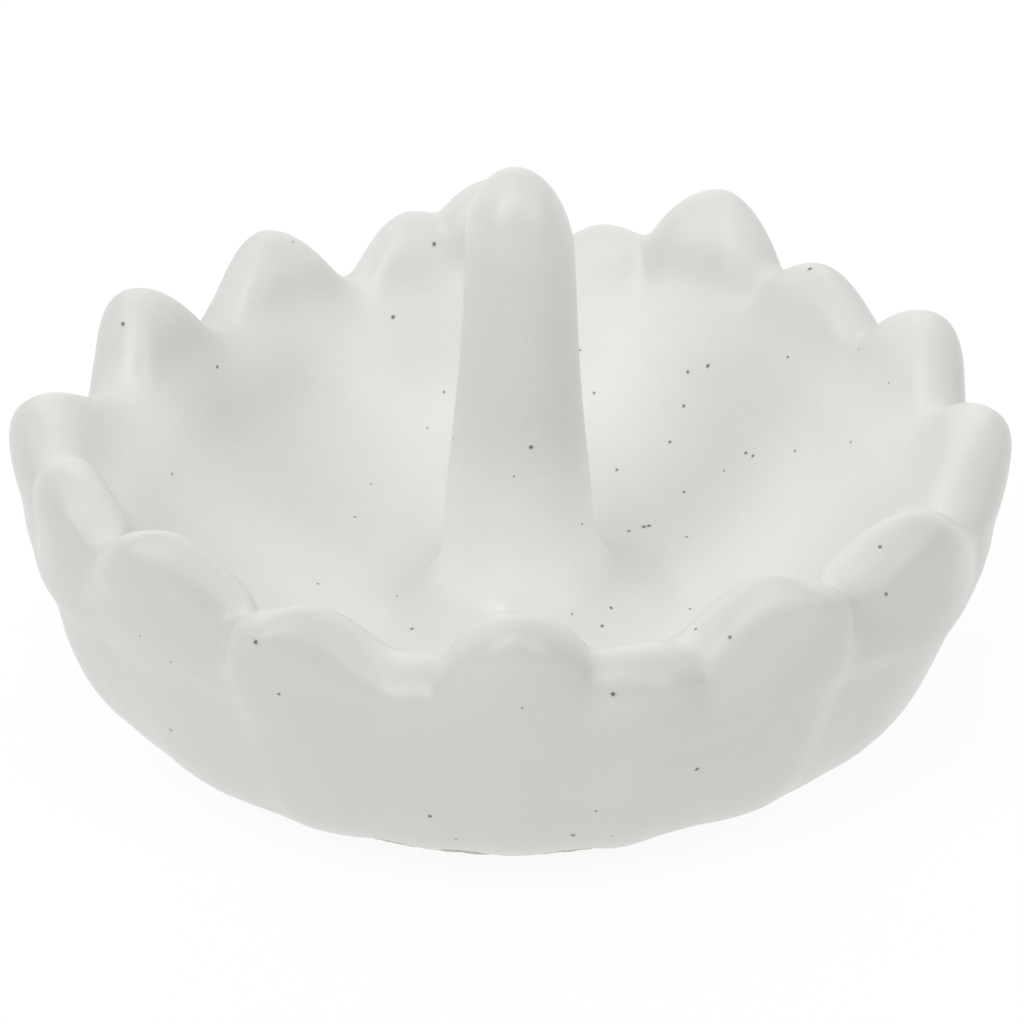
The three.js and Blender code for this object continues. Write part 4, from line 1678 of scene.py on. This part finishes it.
@dataclass
class IronSpecks:
    """The dark specks where iron in the clay has bled up through the glaze.

    Each is a low, closed blister in the glaze's face. The ones in the photograph stand where it
    shows them, and the far side and the underside have as many to the same area.
    """

    form: DishForm
    values: Array
    glaze: SpeckledGlaze
    sides: int = 10
    rings: int = 6
    height: float = 0.08
    sink: float = 0.035
    unseen_count: int = 60
    lowest: float = 1.2
    sight_start: float = 1.0
    sight_end: float = 130.0
    sight_steps: int = 260
    stretch: float = 0.25
    unseen_least: float = 0.85
    unseen_most: float = 1.1
    seed: int = 21

    def photographed(self) -> tuple[list[Array], list[float]]:
        """Finds the specks that the photograph shows: their places and radii."""
        places = []
        radii = []
        for size, pixels in PHOTO_SPECKS.items():
            for pixel in pixels:
                place = self.form.hit(self.values, pixel)
                if place is not None:
                    places.append(place)
                    radii.append(size.value)
        return places, radii

    def is_hidden(self, place: Array) -> bool:
        """Says whether the dish hides a place on it from the photograph's camera."""
        sight = self.form.camera.place() - place
        sight /= np.linalg.norm(sight)
        steps = np.linspace(self.sight_start, self.sight_end, self.sight_steps)[:, None]
        return bool((self.form.lattice.sample(self.values, place + steps * sight) < 0).any())

    def unseen(self) -> tuple[list[Array], list[float]]:
        """Scatters specks over the faces that the photograph doesn't show."""
        draw = np.random.default_rng(self.seed)
        points = self.form.lattice.surface(self.values)[0]
        sizes = list(SpeckSize)
        places = []
        radii = []
        while len(places) < self.unseen_count:
            place = points[draw.integers(len(points))].astype(float)
            size = sizes[draw.integers(len(sizes))]
            if place[2] > self.lowest and self.is_hidden(place):
                places.append(place)
                radii.append(size.value * draw.uniform(self.unseen_least, self.unseen_most))
        return places, radii

    def tree(self) -> bpy.types.NodeTree:
        """Builds the rule that sets a blister of iron on every point."""
        tree = bpy.data.node_groups.new("iron specks", "GeometryNodeTree")
        sockets = [
            ("Points", "NodeSocketGeometry", None), ("Sides", "NodeSocketInt", self.sides),
            ("Rings", "NodeSocketInt", self.rings), ("Height", "NodeSocketFloat", self.height * MM),
            ("Sink", "NodeSocketFloat", self.sink * MM), ("Glaze", "NodeSocketMaterial", None),
        ]
        given = add_sockets(tree, sockets, "Specks")
        ball = add_node(tree, "GeometryNodeMeshUVSphere", {
            "Segments": given["Sides"], "Rings": given["Rings"], "Radius": 1.0})
        place = add_node(tree, "ShaderNodeSeparateXYZ", (add_node(tree, "GeometryNodeInputPosition"),))
        flat = add_node(tree, "ShaderNodeCombineXYZ", {
            "X": place.outputs["X"], "Y": place.outputs["Y"]})
        middle = add_node(tree, "ShaderNodeVectorMath", (flat,), operation="LENGTH")
        marked = add_node(tree, "GeometryNodeStoreNamedAttribute", {
            "Geometry": ball.outputs["Mesh"], "Name": self.glaze.edge_name,
            "Value": middle.outputs["Value"]}, data_type="FLOAT", domain="POINT")
        outward, spin, width, length = [
            add_node(tree, "GeometryNodeInputNamedAttribute", {"Name": name}, data_type=kind)
            for name, kind in (("outward", "FLOAT_VECTOR"), ("spin", "FLOAT"), ("width", "FLOAT"),
                               ("length", "FLOAT"))
        ]
        spun = add_node(tree, "FunctionNodeAxisAngleToRotation", {
            "Axis": Vector((0, 0, 1)), "Angle": spin.outputs["Attribute"]})
        upright = add_node(tree, "FunctionNodeAlignRotationToVector", {
            "Rotation": spun, "Vector": outward.outputs["Attribute"]}, axis="Z")
        size = add_node(tree, "ShaderNodeCombineXYZ", (
            length.outputs["Attribute"], width.outputs["Attribute"], given["Height"]))
        sunk = add_node(tree, MATH, (given["Sink"], -1.0), operation="MULTIPLY")
        inward = add_node(tree, "ShaderNodeVectorMath", {
            0: outward.outputs["Attribute"], "Scale": sunk}, operation="SCALE")
        seated = add_node(tree, "GeometryNodeSetPosition", {
            "Geometry": given["Points"], "Offset": inward})
        placed = add_node(tree, "GeometryNodeInstanceOnPoints", {
            "Points": seated, "Instance": marked, "Rotation": upright, "Scale": size})
        real = add_node(tree, "GeometryNodeRealizeInstances", (placed,))
        smooth = add_node(tree, "GeometryNodeSetShadeSmooth", {"Geometry": real})
        dressed = add_node(tree, "GeometryNodeSetMaterial", {
            "Geometry": smooth, "Material": given["Glaze"]})
        add_node(tree, "NodeGroupOutput", (dressed,))
        return tree

    def build(self) -> bpy.types.Object:
        """Makes all the specks as one piece."""
        seen, seen_radii = self.photographed()
        unseen, unseen_radii = self.unseen()
        places = np.array(seen + unseen)
        radii = np.array(seen_radii + unseen_radii) * MM
        draw = np.random.default_rng(self.seed)
        holder = mesh_object("speck points", places, np.zeros((0, 3), int))
        marks = {
            # The specks take the same painted light and shade as the glaze round them.
            PAINTED_LIGHT_ATTRIBUTE: self.form.painted_light_and_shade(self.values, places),
            "spin": draw.uniform(0, 2 * math.pi, len(places)),
            "width": radii,
            "length": radii * draw.uniform(1, 1 + self.stretch, len(places)),
        }
        for name, numbers in marks.items():
            write_all(holder.data, name, "FLOAT", numbers)
        outward = self.form.lattice.normals(self.values, places)
        write_all(holder.data, "outward", "FLOAT_VECTOR", outward)
        glaze = self.glaze.material("iron_bled_glaze", is_bled=True)
        piece = link_mesh("iron_specks", run_rule(holder, self.tree(), {"Glaze": glaze}))
        discard(holder)
        log.info("%d specks in the photograph and %d elsewhere", len(seen), len(unseen))
        return piece


@dataclass(frozen=True)
class SoftLamp:
    """A lamp shining through the tent's cloth, or a dark card before it where light is below 0.

    Angles are in degrees, from the dish's middle.
    """

    bearing: float
    elevation: float
    full: float
    edge: float
    light: float

    def aim(self) -> Vector:
        """Gives the direction from the dish to the lamp."""
        turn, rise = math.radians(self.bearing), math.radians(self.elevation)
        level = math.cos(rise)
        return Vector((math.cos(turn) * level, math.sin(turn) * level, math.sin(rise)))


LAMPS: tuple[SoftLamp, ...] = (
    SoftLamp(bearing=225.0, elevation=31.0, full=8.0, edge=18.0, light=3.0),
    SoftLamp(bearing=322.0, elevation=31.0, full=8.0, edge=18.0, light=2.2),
    SoftLamp(bearing=240.0, elevation=58.0, full=10.0, edge=26.0, light=1.85),
    SoftLamp(bearing=300.0, elevation=58.0, full=10.0, edge=26.0, light=0.5),
    SoftLamp(bearing=0.0, elevation=0.0, full=12.0, edge=34.0, light=-0.6),
    SoftLamp(bearing=185.0, elevation=0.0, full=12.0, edge=34.0, light=-0.3),
)


@dataclass
class Studio:
    """A backlit white table in a tent of white cloth, with soft lamps outside it.

    The tent's sides light everything evenly and its roof is dimmer. Two lamps hang high over the
    front of the table, and two stand lower at its front corners, where they give the cone its soft
    shadows. A dark card stands on each side. The opening for the camera stays dark low down, so
    the outside of the near petals is a little darker. The table glows, so it reads as white paper
    with almost no shadow.
    """

    table_size: float = 4000.0
    table_colour: str = "#f6f6f6"
    table_share: float = 0.12
    table_glow: float = 0.95
    table_roughness: float = 0.9
    side_light: float = 0.98
    roof_light: float = 0.57
    roof_bottom: float = 40.0
    roof_top: float = 60.0
    opening_light: float = 0.0
    opening_bottom: float = 28.0
    opening_top: float = 50.0
    opening_side: float = 0.15
    opening_middle: float = -0.35
    lamps: tuple[SoftLamp, ...] = LAMPS

    def build(self) -> None:
        """Adds the table and the sky."""
        half = self.table_size / 2
        corners = np.array([[-half, -half, 0], [half, -half, 0], [half, half, 0], [-half, half, 0]])
        table = mesh_object("studio_table", corners, np.array([[0, 1, 2, 3]]))
        table.data.materials.append(self.backlit_acrylic())
        world = bpy.data.worlds.new("studio tent")
        bpy.context.scene.world = world
        world.use_nodes = True
        tree = world.node_tree
        tree.links.new(self.tent(tree).outputs[0], tree.nodes["Background"].inputs["Strength"])
        tree.nodes["Background"].inputs["Color"].default_value = (1.0, 1.0, 1.0, 1.0)
        bpy.context.scene.view_settings.view_transform = "Standard"

    def backlit_acrylic(self) -> bpy.types.Material:
        """Makes the table's white acrylic, which is lit from below and dims nothing near it."""
        red, green, blue, alpha = linear(self.table_colour)
        share = self.table_share
        material, _ = new_material("backlit_acrylic", {
            "Base Color": (red * share, green * share, blue * share, alpha),
            "Roughness": self.table_roughness,
            "Emission Color": (red, green, blue, alpha),
            "Emission Strength": self.table_glow,
        })
        return material

    def tent(self, tree: bpy.types.NodeTree) -> bpy.types.Node:
        """Adds the light of the tent's cloth, its opening and its lamps, and gives the last node."""
        place = add_node(tree, "ShaderNodeTexCoord").outputs["Generated"]
        parts = add_node(tree, "ShaderNodeSeparateXYZ", (place,)).outputs
        to_front = add_node(tree, "ShaderNodeMapRange", {
            "Value": parts["Y"], "From Min": self.opening_side, "From Max": self.opening_middle},
            interpolation_type="SMOOTHSTEP")
        low = add_node(tree, "ShaderNodeMapRange", {
            "Value": parts["Z"], "From Min": math.sin(math.radians(self.opening_top)),
            "From Max": math.sin(math.radians(self.opening_bottom))}, interpolation_type="SMOOTHSTEP")
        opening = add_node(tree, MATH, (to_front, low), operation="MULTIPLY")
        cloth = add_node(tree, "ShaderNodeMapRange", {
            "Value": parts["Z"], "From Min": math.sin(math.radians(self.roof_bottom)),
            "From Max": math.sin(math.radians(self.roof_top)), "To Min": self.side_light,
            "To Max": self.roof_light}, interpolation_type="SMOOTHSTEP")
        light = add_node(tree, "ShaderNodeMix", {
            "Factor": opening, "A": cloth, "B": self.opening_light})
        for lamp in self.lamps:
            near = add_node(tree, "ShaderNodeVectorMath", (place, lamp.aim()), operation="DOT_PRODUCT")
            glow = add_node(tree, "ShaderNodeMapRange", {
                "Value": near.outputs["Value"], "From Min": math.cos(math.radians(lamp.edge)),
                "From Max": math.cos(math.radians(lamp.full)), "To Min": 0.0, "To Max": lamp.light},
                interpolation_type="SMOOTHSTEP")
            light = add_node(tree, MATH, (light, glow), operation="ADD")
        return light


def main() -> None:
    """Builds the dish and its studio, and reports each piece."""
    logging.basicConfig(level=logging.INFO, format="%(name)s: %(message)s", stream=sys.stdout)
    dish = PackedDish.read(frame["nodes"])
    camera = PhotoCamera()
    camera.build()
    spacing = FINE_SPACING
    lattice = Lattice.round_dish(dish, spacing, LATTICE_BAND)
    form = DishForm(dish, lattice, camera)
    values = form.build()
    pieces = Divider(dish, form, lattice, values).divide()
    glaze = SpeckledGlaze()
    stoneware = BareStoneware()
    glazed = glaze.material("satin_white_glaze")
    skins = {"foot_ring": stoneware.wiped_foot(glaze)}
    joint = stoneware.joint()
    for node, piece in pieces.items():
        piece.data.materials[0] = skins.get(node, glazed)
        piece.data.materials[1] = joint
        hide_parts(node)
        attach(piece, BODY)
        log.info("%s stands for %s with %d faces", piece.name, node, len(piece.data.polygons))
    specks = IronSpecks(form, values, glaze).build()
    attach(specks, BODY)
    Studio().build()


if __name__ == "__main__":
    main()
